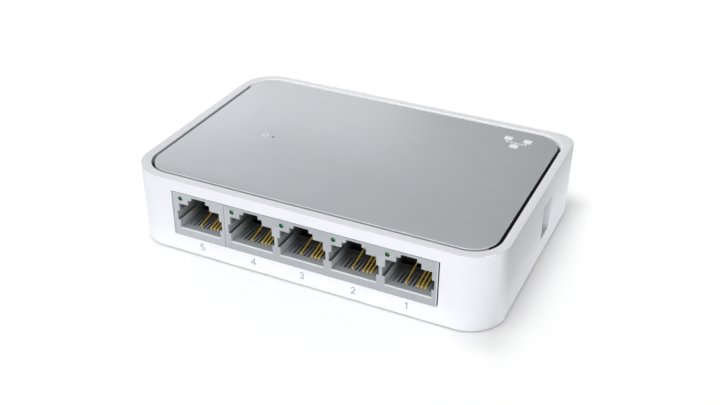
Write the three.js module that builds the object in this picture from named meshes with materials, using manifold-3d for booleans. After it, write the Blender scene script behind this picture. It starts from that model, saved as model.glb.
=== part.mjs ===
// Desktop network switch with five RJ45 ports, built as the separate pieces it is assembled from.
// Millimetres. +X runs to the right as seen from the port side, +Y away from the ports, +Z up.
// The origin is on the ground, under the centre of the case.
import * as THREE from 'three';
import { mergeVertices } from 'three/addons/utils/BufferGeometryUtils.js';
import Module from 'manifold-3d';

const wasm = await Module();
wasm.setup();

// Case
const WIDTH = 103.5;
const DEPTH = 70;
const HEIGHT = 22;
// Corner radii of the outline: front right, back right, back left, front left
const CORNER_RADII = [10.3, 5.5, 10.3, 10.3];
const WALL = 2;
const TOP_WALL = 1.6;
const RIM_WIDTH = 2.35;
const POCKET_RADIUS = 8;
const FRONT = -DEPTH / 2;
const SIDE = WIDTH / 2;

// Top plate, laid in a pocket inside the rim and level with it
const PLATE_THICKNESS = 1.5;
const PLATE_GAP = 0.8;
const PLATE_BEVEL = 0.25;
const PLATE_TOP = HEIGHT;
const POCKET_FLOOR = PLATE_TOP - PLATE_THICKNESS;
const CEILING = POCKET_FLOOR - TOP_WALL;

// Base cover and feet
const FOOT_STAND_OFF = 0.4;
const FOOT_RADIUS = 4;
const FOOT_HEIGHT = 1.2;
const FOOT_BEVEL = 0.2;
const FOOT_X = 41;
const FOOT_Y = 25;
const COVER_BOTTOM = FOOT_STAND_OFF + 0.2;
const COVER_THICKNESS = 1.6;
const COVER_TOP = COVER_BOTTOM + COVER_THICKNESS;
const COVER_GAP = 0.2;
const VENT_WIDTH = 1.8;
const VENT_END_RADIUS = 0.89;
const VENT_LENGTH = 15;
const VENT_PITCH = 4;
const VENTS_PER_ROW = 9;
const VENT_ROW_Y = 10;

// Snap hooks that stand on the base cover and catch in the case walls
const HOOK_WIDTH = 6;
const HOOK_THICKNESS = 1.2;
const HOOK_TOP = 6;
const HOOK_GAP = 0.3;
const HOOK_NOSE = 0.9;
const HOOK_NOSE_HEIGHT = 1.2;

// Circuit board and the posts that carry it
const BOARD_THICKNESS = 1.2;
const BOARD_TOP = 5.45;
const BOARD_BOTTOM = BOARD_TOP - BOARD_THICKNESS;
const BOARD_HALF_WIDTH = 47.9;
const BOARD_FRONT = -32.6;
const BOARD_BACK = 18;
const BOARD_RADIUS = 6;
const POST_X = 43.5;
const FRONT_POST_Y = -28;
const BACK_POST_Y = 14;
const POST_RADIUS = 2.6;
const SCREW_RADIUS = 1;
const SCREW_LENGTH = 3.1;
const SCREW_HEAD_RADIUS = 2;
const SCREW_HEAD_HEIGHT = 1.4;
const SCREW_TIP_RADIUS = 0.5;
const SCREW_TIP_LENGTH = 0.6;
const SCREW_HEAD_EDGE = 0.8;
const SCREW_HEAD_CROWN_RADIUS = 1.2;
const PIN_RADIUS = 1;
const CLEARANCE = 0.3;

// Parts on the board
const CHIP_BEVEL = 0.2;
const CAPACITOR_RADIUS = 3.15;
const CAPACITOR_HEIGHT = 7.7;
const CAPACITOR_GROOVE = 0.3;
const CAPACITOR_FOOT = 1;
const CRYSTAL_LENGTH = 11;
const CRYSTAL_WIDTH = 4.6;
const CRYSTAL_END_RADIUS = 2.29;
const CRYSTAL_HEIGHT = 3.5;
const CRYSTAL_X = -19;
const CRYSTAL_Y = 5;

// RJ45 ports: one single jack and a gang of four, in one window of the case
const PORT_PITCH = 14.51;
const PORT_1_X = 29.56;
const PORT_5_X = -29.58;
const WINDOW_LEFT = -37.74;
const WINDOW_RIGHT = 37.5;
const WINDOW_BOTTOM = 5.35;
const WINDOW_TOP = 18.54;
const JACK_FRONT = FRONT + 0.15;
const JACK_LENGTH = 17.5;
const JACK_TOP = 18.4;
const SINGLE_JACK_SPAN = [-37.54, -22.04];
const QUAD_JACK_SPAN = [-21.84, 37.1];
const CAVITY_DEPTH = 13.2;
const FLOOR_LENGTH = 10.3;
const FLOOR_Z = 7.7;
const MOUTH_HALF_WIDTH = 6.1;
const MOUTH_TOP = 15.15;
const GROOVE_HALF_WIDTH = 6.8;
const GROOVE_BOTTOM = 10.1;
const GROOVE_TOP = 12.8;
const LATCH_HALF_WIDTH = 3.3;
const LATCH_TOP = 16.7;
const NOTCH_HALF_WIDTH = 2.15;
const NOTCH_TOP = 17.75;
const LIP_CHAMFER = 0.3;
const LIP_OVERHANG = 0.1;

// Sprung contact wires: only pins 1, 2, 3 and 6 are fitted, the other slots stay empty
const PIN_PITCH = 1.016;
const PIN_SLOTS = 8;
const FITTED_PINS = [1, 2, 3, 6];
const WIRE_HALF_WIDTH = 0.19;
const WIRE_ROOT_Y = FRONT + 3.3;
const WIRE_ROOT_Z = 7.6;
const WIRE_BEND_RADIUS = 0.45;
const WIRE_STUB = 1.4;
const WIRE_ARM_LENGTH = 10;
const WIRE_ARM_SLOPE = 12.5 * Math.PI / 180;
const SLOT_WIDTH = 0.56;
const SLOT_FRONT = FRONT + 2.45;
const SLOT_BEND = FRONT + 5;
const SLOT_END = FRONT + 8.2;
const SLOT_BOTTOM = 6.3;

// Link lamps beside the latch notches, and the power lamp with its light pipe
const LED_OFFSET_X = -5.53;
const LED_Z = 16.72;
const LED_LENS_RADIUS = 0.55;
const LED_LENS_LENGTH = 1.6;
const LED_LENS_RECESS = 0.3;
const LED_DOME = 0.25;
const LED_BODY_RADIUS = 1;
const LED_BODY_LENGTH = 3;
const LED_BORE_RADIUS = 0.65;
const LED_POCKET_RADIUS = 1.15;
const POWER_LAMP_X = -25.42;
const POWER_LAMP_Y = -2.72;
const LIGHT_PIPE_RADIUS = 0.3;
const LIGHT_PIPE_FLANGE_RADIUS = 1.3;
const LIGHT_PIPE_FLANGE = 1;
const LIGHT_PIPE_RECESS = 0.2;
const LIGHT_PIPE_DOME = 0.1;
const POWER_LED_SIZE = [2, 1.25, 0.8];

// Power inlet: a barrel jack at the inner end of a rectangular chute in the right-hand wall
const INLET_Y = 7.15;
const INLET_Z = 10.9;
const CHUTE_WIDTH = 7.7;
const CHUTE_HEIGHT = 9.9;
const CHUTE_DEPTH = 4.85;
const CHUTE_WALL = 0.9;
const CHUTE_CHAMFER = 0.65;
const INLET_WIDTH = 9;
const INLET_FLANGE_HEIGHT = 10.1;
const INLET_BARREL_HEIGHT = 9.8;
const INLET_LENGTH = 14.4;
const INLET_FACE = SIDE - 4.3;
const INLET_FLANGE_LENGTH = 3.2;
const INLET_NOSE_LENGTH = 0.85;
const INLET_NOSE_WIDTH = 7.1;
const INLET_NOSE_BOTTOM = 6.25;
const INLET_TOP_RADIUS = 3;
const INLET_BORE_RADIUS = 3.2;
const INLET_BORE_DEPTH = 9.5;
const INLET_PIN_RADIUS = 1;
const INLET_PIN_LENGTH = 8.4;
const INLET_PIN_TAIL = 4.2;
const INLET_PIN_SHOULDER = 0.5;
const INLET_PIN_NOSE = 0.4;
const LEAF_WIDTH = 2.8;
const LEAF_THICKNESS = 0.35;
const LEAF_ROOT_DROP = 3.95;
const LEAF_CREST_DROP = 2.95;
const LEAF_TIP_DROP = 3.6;
const LEAF_CREST_X = 6;
const LEAF_LENGTH = 8.3;
const LEAF_ROOT_X = INLET_FACE - INLET_BORE_DEPTH - 1.4;
const LEAF_SLOT_DEPTH = 5;
const LEAF_SLOT_TOP = 2.2;
const LEAF_SLOT_FRONT_WALL = 1.2;
const LEAF_SLOT_BACK_WALL = 1.6;

// How far a cutter runs past the face that it cuts
const OVERRUN = 1;
const ARC_SEGMENTS = 5;
const SMALL_ARC_SEGMENTS = 2;
const ROUND_SEGMENTS = 24;
const SMALL_ROUND_SEGMENTS = 12;

const object = new THREE.Group();

// ---- materials ----

function material(hex, roughness, metalness) {
  return new THREE.MeshStandardMaterial({ color: hex, roughness, metalness });
}

const finishes = {
  case: () => material(0xeeeef3, 0.38, 0),
  plate: () => material(0xa9afb2, 0.34, 0.25),
  cover: () => material(0xe4e5ea, 0.5, 0),
  rubber: () => material(0x35363a, 0.85, 0),
  board: () => material(0x1f6b3c, 0.45, 0),
  jack: () => material(0xb7bcc1, 0.45, 0),
  gold: () => material(0xc79a34, 0.25, 1),
  greenLens: () => material(0x12602c, 0.2, 0),
  clearLens: () => material(0xdfe6e4, 0.12, 0),
  black: () => material(0x1b1c1e, 0.5, 0),
  nickel: () => material(0xc9cbcd, 0.25, 1),
  steel: () => material(0x9fa2a6, 0.35, 1),
  sleeve: () => material(0x27313f, 0.4, 0),
};

function addPiece(name, geometry, finish) {
  const mesh = new THREE.Mesh(geometry, finishes[finish]());
  mesh.name = name;
  object.add(mesh);
  return mesh;
}

// ---- solids: three.js geometry in, three.js geometry out ----

function toSolid(geometry) {
  const bare = geometry.clone();
  bare.deleteAttribute('normal');
  bare.deleteAttribute('uv');
  const merged = mergeVertices(bare, 1e-4);
  return new wasm.Manifold(new wasm.Mesh({
    numProp: 3,
    vertProperties: new Float32Array(merged.attributes.position.array),
    triVerts: new Uint32Array(merged.index.array),
  }));
}

function toGeometry(solid) {
  const mesh = solid.getMesh();
  const geometry = new THREE.BufferGeometry();
  geometry.setAttribute('position', new THREE.BufferAttribute(new Float32Array(mesh.vertProperties), 3));
  geometry.setIndex(new THREE.BufferAttribute(new Uint32Array(mesh.triVerts), 1));
  geometry.computeVertexNormals();
  return geometry;
}

function carve(body, cutters) {
  return cutters.reduce((solid, cutter) => solid.subtract(toSolid(cutter)), body);
}

function join(geometries) {
  return geometries.slice(1).reduce((solid, g) => solid.add(toSolid(g)), toSolid(geometries[0]));
}

// ---- basic shapes ----

// Box between two corners.
function box(low, high) {
  const [dx, dy, dz] = high.map((value, axis) => value - low[axis]);
  const geometry = new THREE.BoxGeometry(dx, dy, dz);
  return geometry.translate(low[0] + dx / 2, low[1] + dy / 2, low[2] + dz / 2);
}

// Rectangle with rounded corners, centred on (centreX, centreY). The four radii run anticlockwise
// from the corner at the right of the lower side.
function roundedRectangle(halfX, halfY, radii, centreX = 0, centreY = 0) {
  const shape = new THREE.Shape();
  const corners = [[1, -1, -90], [1, 1, 0], [-1, 1, 90], [-1, -1, 180]];
  corners.forEach(([signX, signY, startDegrees], i) => {
    const start = startDegrees * Math.PI / 180;
    const x = centreX + signX * (halfX - radii[i]);
    const y = centreY + signY * (halfY - radii[i]);
    shape.absarc(x, y, radii[i], start, start + Math.PI / 2, false);
  });
  return shape;
}

// The same radius at all four corners.
function even(radius) {
  return [radius, radius, radius, radius];
}

// Prism over an outline in the XY plane, from bottom to top.
function prismAlongZ(shape, bottom, top, curveSegments = ARC_SEGMENTS) {
  const geometry = new THREE.ExtrudeGeometry(shape, {
    depth: top - bottom,
    bevelEnabled: false,
    curveSegments,
  });
  return geometry.translate(0, 0, bottom);
}

// Prism over an outline in the XZ plane, from front to back.
function prismAlongY(shape, front, back, curveSegments = ARC_SEGMENTS) {
  const geometry = prismAlongZ(shape, 0, back - front, curveSegments);
  return geometry.rotateX(Math.PI / 2).translate(0, back, 0);
}

// Prism over an outline in the YZ plane, from left to right.
function prismAlongX(shape, left, right, curveSegments = ARC_SEGMENTS) {
  const geometry = prismAlongZ(shape, left, right, curveSegments);
  return geometry.rotateZ(Math.PI / 2).rotateY(Math.PI / 2);
}

function outline(points) {
  return new THREE.Shape(points.map(([x, y]) => new THREE.Vector2(x, y)));
}

// Upright cylinder between two heights.
function post(x, y, radius, bottom, top, segments = SMALL_ROUND_SEGMENTS) {
  const geometry = new THREE.CylinderGeometry(radius, radius, top - bottom, segments);
  return geometry.rotateX(Math.PI / 2).translate(x, y, (bottom + top) / 2);
}

// Round solid on an upright axis, from [radius, height] points that start and end on that axis.
function turned(profile, segments) {
  const points = profile.map(([radius, height]) => new THREE.Vector2(radius, height));
  return new THREE.LatheGeometry(points, segments).rotateX(Math.PI / 2);
}

// ---- case ----

// Outline of the case, moved inwards by a distance.
function caseOutline(inset) {
  return roundedRectangle(SIDE - inset, DEPTH / 2 - inset, CORNER_RADII.map((radius) => radius - inset));
}

// Outline of the pocket for the top plate, moved inwards by a distance.
function pocketOutline(inset) {
  const halfX = SIDE - RIM_WIDTH - inset;
  const halfY = DEPTH / 2 - RIM_WIDTH - inset;
  return roundedRectangle(halfX, halfY, even(POCKET_RADIUS - inset));
}

// Where each snap hook stands: the wall's outward direction and the hook's place along the wall.
const hookPlaces = [
  { normal: [1, 0], along: -20 },
  { normal: [1, 0], along: 20 },
  { normal: [-1, 0], along: -20 },
  { normal: [-1, 0], along: 20 },
  { normal: [0, 1], along: -28 },
  { normal: [0, 1], along: 28 },
];

// Box against a wall's inner face: from one depth to another, measured outward from that face.
function boxOnWall({ normal, along }, width, inner, outer, bottom, top) {
  const reach = (normal[0] !== 0 ? SIDE : DEPTH / 2) - WALL;
  const sign = normal[0] + normal[1];
  const [a, b] = [sign * (reach + inner), sign * (reach + outer)].sort((p, q) => p - q);
  if (normal[0] !== 0) {
    return box([a, along - width / 2, bottom], [b, along + width / 2, top]);
  }
  return box([along - width / 2, a, bottom], [along + width / 2, b, top]);
}

// Chute that leads a plug through the right-hand wall: its outer block and its hollow. Its floor
// stops short of the circuit board, and its side walls and roof reach in over the board.
const CHUTE_SIDES = [INLET_Y - CHUTE_WIDTH / 2, INLET_Y + CHUTE_WIDTH / 2];
const CHUTE_LEVELS = [INLET_Z - CHUTE_HEIGHT / 2, INLET_Z + CHUTE_HEIGHT / 2];

function chuteBlock() {
  const [near, far] = CHUTE_SIDES;
  const [bottom, top] = CHUTE_LEVELS;
  const outer = SIDE - WALL / 2;
  const sidesAndRoof = box(
    [SIDE - CHUTE_DEPTH, near - CHUTE_WALL, bottom],
    [outer, far + CHUTE_WALL, top + CHUTE_WALL],
  );
  const floor = box(
    [BOARD_HALF_WIDTH + CLEARANCE, near - CHUTE_WALL, bottom - CHUTE_WALL],
    [outer, far + CHUTE_WALL, bottom + CHUTE_WALL],
  );
  return join([sidesAndRoof, floor]);
}

function chuteHollow() {
  const [near, far] = CHUTE_SIDES;
  const [bottom, top] = CHUTE_LEVELS;
  const section = outline([
    [near, bottom],
    [far - CHUTE_CHAMFER, bottom],
    [far, bottom + CHUTE_CHAMFER],
    [far, top],
    [near, top],
  ]);
  return prismAlongX(section, SIDE - CHUTE_DEPTH - OVERRUN, SIDE + OVERRUN);
}

function upperCase() {
  const block = toSolid(prismAlongZ(caseOutline(0), FOOT_STAND_OFF, HEIGHT));
  const cavity = prismAlongZ(caseOutline(WALL), FOOT_STAND_OFF - OVERRUN, CEILING);
  const pocket = prismAlongZ(pocketOutline(0), POCKET_FLOOR, HEIGHT + OVERRUN);
  const shell = carve(block, [cavity, pocket]).add(chuteBlock());
  const window = box(
    [WINDOW_LEFT, FRONT - OVERRUN, WINDOW_BOTTOM],
    [WINDOW_RIGHT, FRONT + WALL + OVERRUN, WINDOW_TOP],
  );
  const holeRadius = LIGHT_PIPE_RADIUS + CLEARANCE;
  const lampHole = post(POWER_LAMP_X, POWER_LAMP_Y, holeRadius, CEILING - OVERRUN, HEIGHT);
  const catches = hookPlaces.map((place) => boxOnWall(
    place,
    HOOK_WIDTH + 2 * CLEARANCE,
    -CLEARANCE,
    HOOK_NOSE,
    HOOK_TOP - HOOK_NOSE_HEIGHT - CLEARANCE,
    HOOK_TOP + CLEARANCE,
  ));
  return toGeometry(carve(shell, [window, chuteHollow(), lampHole, ...catches]));
}

function topPlate() {
  const plate = new THREE.ExtrudeGeometry(pocketOutline(PLATE_GAP + PLATE_BEVEL), {
    depth: PLATE_THICKNESS - 2 * PLATE_BEVEL,
    bevelEnabled: true,
    bevelThickness: PLATE_BEVEL,
    bevelSize: PLATE_BEVEL,
    bevelSegments: 1,
    curveSegments: ARC_SEGMENTS,
  }).translate(0, 0, POCKET_FLOOR + PLATE_BEVEL);
  const holeRadius = LIGHT_PIPE_RADIUS + CLEARANCE;
  const lampHole = post(POWER_LAMP_X, POWER_LAMP_Y, holeRadius, POCKET_FLOOR - OVERRUN, HEIGHT);
  return toGeometry(carve(toSolid(plate), [lampHole]));
}

// Upright L-shaped hook: a stem inside the wall and a nose that reaches into the wall's catch.
function snapHook(place) {
  const stem = boxOnWall(place, HOOK_WIDTH, -HOOK_GAP - HOOK_THICKNESS, -HOOK_GAP, COVER_BOTTOM, HOOK_TOP);
  const nose = boxOnWall(
    place,
    HOOK_WIDTH,
    -HOOK_GAP - HOOK_THICKNESS / 2,
    HOOK_NOSE - CLEARANCE,
    HOOK_TOP - HOOK_NOSE_HEIGHT,
    HOOK_TOP,
  );
  return [stem, nose];
}

const footPlaces = [[-FOOT_X, -FOOT_Y], [FOOT_X, -FOOT_Y], [FOOT_X, FOOT_Y], [-FOOT_X, FOOT_Y]];

function ventSlots() {
  const slots = [];
  for (const row of [-1, 1]) {
    for (let i = 0; i < VENTS_PER_ROW; i += 1) {
      const x = (i - (VENTS_PER_ROW - 1) / 2) * VENT_PITCH;
      const y = row * VENT_ROW_Y;
      const slot = roundedRectangle(VENT_WIDTH / 2, VENT_LENGTH / 2, even(VENT_END_RADIUS), x, y);
      slots.push(prismAlongZ(slot, COVER_BOTTOM - OVERRUN, COVER_TOP + OVERRUN, SMALL_ARC_SEGMENTS));
    }
  }
  return slots;
}

function baseCover() {
  const boardPosts = [];
  const locatingPins = [];
  const screwHoles = [];
  for (const x of [-POST_X, POST_X]) {
    boardPosts.push(post(x, FRONT_POST_Y, POST_RADIUS, COVER_BOTTOM, BOARD_BOTTOM));
    boardPosts.push(post(x, BACK_POST_Y, POST_RADIUS, COVER_BOTTOM, BOARD_BOTTOM));
    locatingPins.push(post(x, FRONT_POST_Y, PIN_RADIUS, COVER_BOTTOM, BOARD_TOP + PIN_RADIUS));
    const holeBottom = BOARD_TOP - SCREW_LENGTH - CLEARANCE;
    screwHoles.push(post(x, BACK_POST_Y, SCREW_RADIUS + CLEARANCE, holeBottom, BOARD_TOP));
  }
  const body = join([
    prismAlongZ(caseOutline(WALL + COVER_GAP), COVER_BOTTOM, COVER_TOP),
    ...boardPosts,
    ...locatingPins,
    ...hookPlaces.flatMap(snapHook),
  ]);
  const footRecesses = footPlaces.map(([x, y]) => post(
    x,
    y,
    FOOT_RADIUS + CLEARANCE,
    COVER_BOTTOM - OVERRUN,
    FOOT_HEIGHT,
    ROUND_SEGMENTS,
  ));
  return toGeometry(carve(body, [...screwHoles, ...footRecesses, ...ventSlots()]));
}

function rubberFoot() {
  return turned([
    [0, 0],
    [FOOT_RADIUS - FOOT_BEVEL, 0],
    [FOOT_RADIUS, FOOT_BEVEL],
    [FOOT_RADIUS, FOOT_HEIGHT],
    [0, FOOT_HEIGHT],
  ], ROUND_SEGMENTS);
}

// ---- circuit board ----

function circuitBoard() {
  const centreY = (BOARD_FRONT + BOARD_BACK) / 2;
  const halfY = (BOARD_BACK - BOARD_FRONT) / 2;
  const sheet = prismAlongZ(
    roundedRectangle(BOARD_HALF_WIDTH, halfY, even(BOARD_RADIUS), 0, centreY),
    BOARD_BOTTOM,
    BOARD_TOP,
  );
  const holes = [-POST_X, POST_X].flatMap((x) => [FRONT_POST_Y, BACK_POST_Y].map((y) => (
    post(x, y, PIN_RADIUS + CLEARANCE, BOARD_BOTTOM - OVERRUN, BOARD_TOP + OVERRUN)
  )));
  return toGeometry(carve(toSolid(sheet), holes));
}

function boardScrew() {
  return turned([
    [0, -SCREW_LENGTH],
    [SCREW_TIP_RADIUS, -SCREW_LENGTH],
    [SCREW_RADIUS, -SCREW_LENGTH + SCREW_TIP_LENGTH],
    [SCREW_RADIUS, 0],
    [SCREW_HEAD_RADIUS, 0],
    [SCREW_HEAD_RADIUS, SCREW_HEAD_EDGE],
    [SCREW_HEAD_CROWN_RADIUS, SCREW_HEAD_HEIGHT],
    [0, SCREW_HEAD_HEIGHT],
  ], SMALL_ROUND_SEGMENTS);
}

// Chip-like part that lies flat on the board: [name, x, y, length, width, height, finish].
const flatParts = [
  ['switch_chip', -3, 4, 14, 14, 1.6, 'black'],
  ['port_transformer_1_2', 22.3, -11.5, 15, 9.4, 5.2, 'black'],
  ['port_transformer_3_4', -6.7, -11.5, 15, 9.4, 5.2, 'black'],
  ['port_transformer_5', -29.6, -11.5, 12.6, 9.4, 5.2, 'black'],
  ['voltage_regulator', 20, 3, 6.5, 3.6, 1.7, 'black'],
  ['power_inductor', 20, 11, 6, 6, 3, 'black'],
];

function flatPart(length, width, height) {
  const shape = roundedRectangle(length / 2 - CHIP_BEVEL, width / 2 - CHIP_BEVEL, even(CHIP_BEVEL));
  return new THREE.ExtrudeGeometry(shape, {
    depth: height - 2 * CHIP_BEVEL,
    bevelEnabled: true,
    bevelThickness: CHIP_BEVEL,
    bevelSize: CHIP_BEVEL,
    bevelSegments: 1,
    curveSegments: 1,
  }).translate(0, 0, CHIP_BEVEL);
}

const capacitorPlaces = [[29.5, 12.5], [29.5, 1.5]];

// Electrolytic can with its rolled groove near the foot.
function capacitor() {
  const neck = CAPACITOR_RADIUS - CAPACITOR_GROOVE;
  return turned([
    [0, 0],
    [CAPACITOR_RADIUS, 0],
    [CAPACITOR_RADIUS, CAPACITOR_FOOT],
    [neck, CAPACITOR_FOOT + CAPACITOR_GROOVE],
    [CAPACITOR_RADIUS, CAPACITOR_FOOT + 2 * CAPACITOR_GROOVE],
    [CAPACITOR_RADIUS, CAPACITOR_HEIGHT - CAPACITOR_GROOVE],
    [neck, CAPACITOR_HEIGHT],
    [0, CAPACITOR_HEIGHT],
  ], ROUND_SEGMENTS);
}

// Metal can with fully rounded ends.
function crystalCan() {
  const can = roundedRectangle(CRYSTAL_LENGTH / 2, CRYSTAL_WIDTH / 2, even(CRYSTAL_END_RADIUS));
  return prismAlongZ(can, 0, CRYSTAL_HEIGHT, SMALL_ARC_SEGMENTS);
}

// ---- RJ45 jacks ----

// Half of the mouth's section as [distance from the port's centre, height], from floor to notch top.
const mouthHalf = [
  [MOUTH_HALF_WIDTH, FLOOR_Z],
  [MOUTH_HALF_WIDTH, GROOVE_BOTTOM],
  [GROOVE_HALF_WIDTH, GROOVE_BOTTOM],
  [GROOVE_HALF_WIDTH, GROOVE_TOP],
  [MOUTH_HALF_WIDTH, GROOVE_TOP],
  [MOUTH_HALF_WIDTH, MOUTH_TOP],
  [LATCH_HALF_WIDTH, MOUTH_TOP],
  [LATCH_HALF_WIDTH, LATCH_TOP],
  [NOTCH_HALF_WIDTH, LATCH_TOP],
  [NOTCH_HALF_WIDTH, NOTCH_TOP],
];

function mouthOutline(portX) {
  const right = mouthHalf.map(([x, z]) => [portX + x, z]);
  const left = mouthHalf.map(([x, z]) => [portX - x, z]).reverse();
  return outline([...right, ...left]);
}

// Wedge that bevels the front edge of a mouth's floor.
function lipChamfer(portX) {
  const wedge = outline([
    [JACK_FRONT - OVERRUN, FLOOR_Z - LIP_CHAMFER - OVERRUN],
    [JACK_FRONT + LIP_CHAMFER, FLOOR_Z],
    [JACK_FRONT + LIP_CHAMFER, FLOOR_Z + OVERRUN],
    [JACK_FRONT - OVERRUN, FLOOR_Z + OVERRUN],
  ]);
  const halfWidth = MOUTH_HALF_WIDTH + LIP_OVERHANG;
  return prismAlongX(wedge, portX - halfWidth, portX + halfWidth);
}

function pinX(portX, pin) {
  return portX + ((PIN_SLOTS + 1) / 2 - pin) * PIN_PITCH;
}

// Slots in the floor for the bends of the wires: deep in front, and running out towards the back.
function wireSlots(portX) {
  const section = outline([
    [SLOT_FRONT, SLOT_BOTTOM],
    [SLOT_BEND, SLOT_BOTTOM],
    [SLOT_END, FLOOR_Z],
    [SLOT_END, FLOOR_Z + OVERRUN],
    [SLOT_FRONT, FLOOR_Z + OVERRUN],
  ]);
  return Array.from({ length: PIN_SLOTS }, (_, i) => {
    const x = pinX(portX, i + 1);
    return prismAlongX(section, x - SLOT_WIDTH / 2, x + SLOT_WIDTH / 2);
  });
}

// Well behind the floor, under the free ends of the wires.
function wireWell(portX) {
  return box(
    [portX - MOUTH_HALF_WIDTH, JACK_FRONT + FLOOR_LENGTH, SLOT_BOTTOM],
    [portX + MOUTH_HALF_WIDTH, JACK_FRONT + CAVITY_DEPTH, FLOOR_Z + OVERRUN],
  );
}

function cylinderAlongY(x, z, radius, front, back) {
  const geometry = new THREE.CylinderGeometry(radius, radius, back - front, SMALL_ROUND_SEGMENTS);
  return geometry.translate(x, (front + back) / 2, z);
}

// Bore for one link lamp: narrow at the face, wide behind so that the lamp goes in from the back.
function lampBore(portX) {
  const x = portX + LED_OFFSET_X;
  const shoulder = JACK_FRONT + LED_LENS_RECESS + LED_LENS_LENGTH - CLEARANCE;
  return [
    cylinderAlongY(x, LED_Z, LED_BORE_RADIUS, JACK_FRONT - OVERRUN, shoulder + OVERRUN),
    cylinderAlongY(x, LED_Z, LED_POCKET_RADIUS, shoulder, JACK_FRONT + JACK_LENGTH + OVERRUN),
  ];
}

function jackHousing([left, right], portXs) {
  const block = box([left, JACK_FRONT, BOARD_TOP], [right, JACK_FRONT + JACK_LENGTH, JACK_TOP]);
  const cutters = portXs.flatMap((x) => [
    prismAlongY(mouthOutline(x), JACK_FRONT - OVERRUN, JACK_FRONT + CAVITY_DEPTH),
    lipChamfer(x),
    ...wireSlots(x),
    wireWell(x),
    ...lampBore(x),
  ]);
  return toGeometry(carve(toSolid(block), cutters));
}

// One contact wire: a stub under the floor, a tight bend at the front and a long arm that rises
// towards the back of the cavity. It is drawn around its bend, which is where it flexes.
function contactWire() {
  const outer = WIRE_BEND_RADIUS + WIRE_HALF_WIDTH;
  const inner = WIRE_BEND_RADIUS - WIRE_HALF_WIDTH;
  const armStart = Math.PI / 2 + WIRE_ARM_SLOPE;
  const armEnd = (radius) => [
    radius * Math.cos(armStart) + WIRE_ARM_LENGTH * Math.cos(WIRE_ARM_SLOPE),
    radius * Math.sin(armStart) + WIRE_ARM_LENGTH * Math.sin(WIRE_ARM_SLOPE),
  ];
  const side = new THREE.Shape();
  side.moveTo(WIRE_STUB, -outer);
  side.absarc(0, 0, outer, -Math.PI / 2, armStart, true);
  side.lineTo(...armEnd(outer));
  side.lineTo(...armEnd(inner));
  side.absarc(0, 0, inner, armStart, -Math.PI / 2, false);
  side.lineTo(WIRE_STUB, -inner);
  return prismAlongX(side, -WIRE_HALF_WIDTH, WIRE_HALF_WIDTH);
}

// Link lamp: a narrow lens that shows at the face, on a wider body. It is turned about +Z, lens down.
function linkLamp() {
  return turned([
    [0, 0],
    [LED_LENS_RADIUS - LED_DOME, LED_DOME / 3],
    [LED_LENS_RADIUS, LED_DOME],
    [LED_LENS_RADIUS, LED_LENS_LENGTH],
    [LED_BODY_RADIUS, LED_LENS_LENGTH],
    [LED_BODY_RADIUS, LED_LENS_LENGTH + LED_BODY_LENGTH],
    [0, LED_LENS_LENGTH + LED_BODY_LENGTH],
  ], SMALL_ROUND_SEGMENTS);
}

// ---- power lamp ----

// Clear pipe from just above the power lamp to just below the face of the plate.
function lightPipe() {
  const lampTop = BOARD_TOP + POWER_LED_SIZE[2];
  const tip = PLATE_TOP - LIGHT_PIPE_RECESS;
  return turned([
    [0, lampTop + CLEARANCE],
    [LIGHT_PIPE_RADIUS, lampTop + CLEARANCE],
    [LIGHT_PIPE_RADIUS, CEILING - LIGHT_PIPE_FLANGE],
    [LIGHT_PIPE_FLANGE_RADIUS, CEILING - LIGHT_PIPE_FLANGE],
    [LIGHT_PIPE_FLANGE_RADIUS, CEILING],
    [LIGHT_PIPE_RADIUS, CEILING],
    [LIGHT_PIPE_RADIUS, tip - LIGHT_PIPE_DOME],
    [0, tip],
  ], SMALL_ROUND_SEGMENTS);
}

// ---- power inlet ----

// Turns a solid drawn about +Z so that its axis runs along +X at the height of the inlet.
function placeOnInletAxis(geometry, x) {
  return geometry.rotateY(Math.PI / 2).translate(x, INLET_Y, INLET_Z);
}

function cylinderOnInletAxis(radius, left, right, segments) {
  const geometry = new THREE.CylinderGeometry(radius, radius, right - left, segments);
  return placeOnInletAxis(geometry.rotateX(Math.PI / 2), (left + right) / 2);
}

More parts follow.
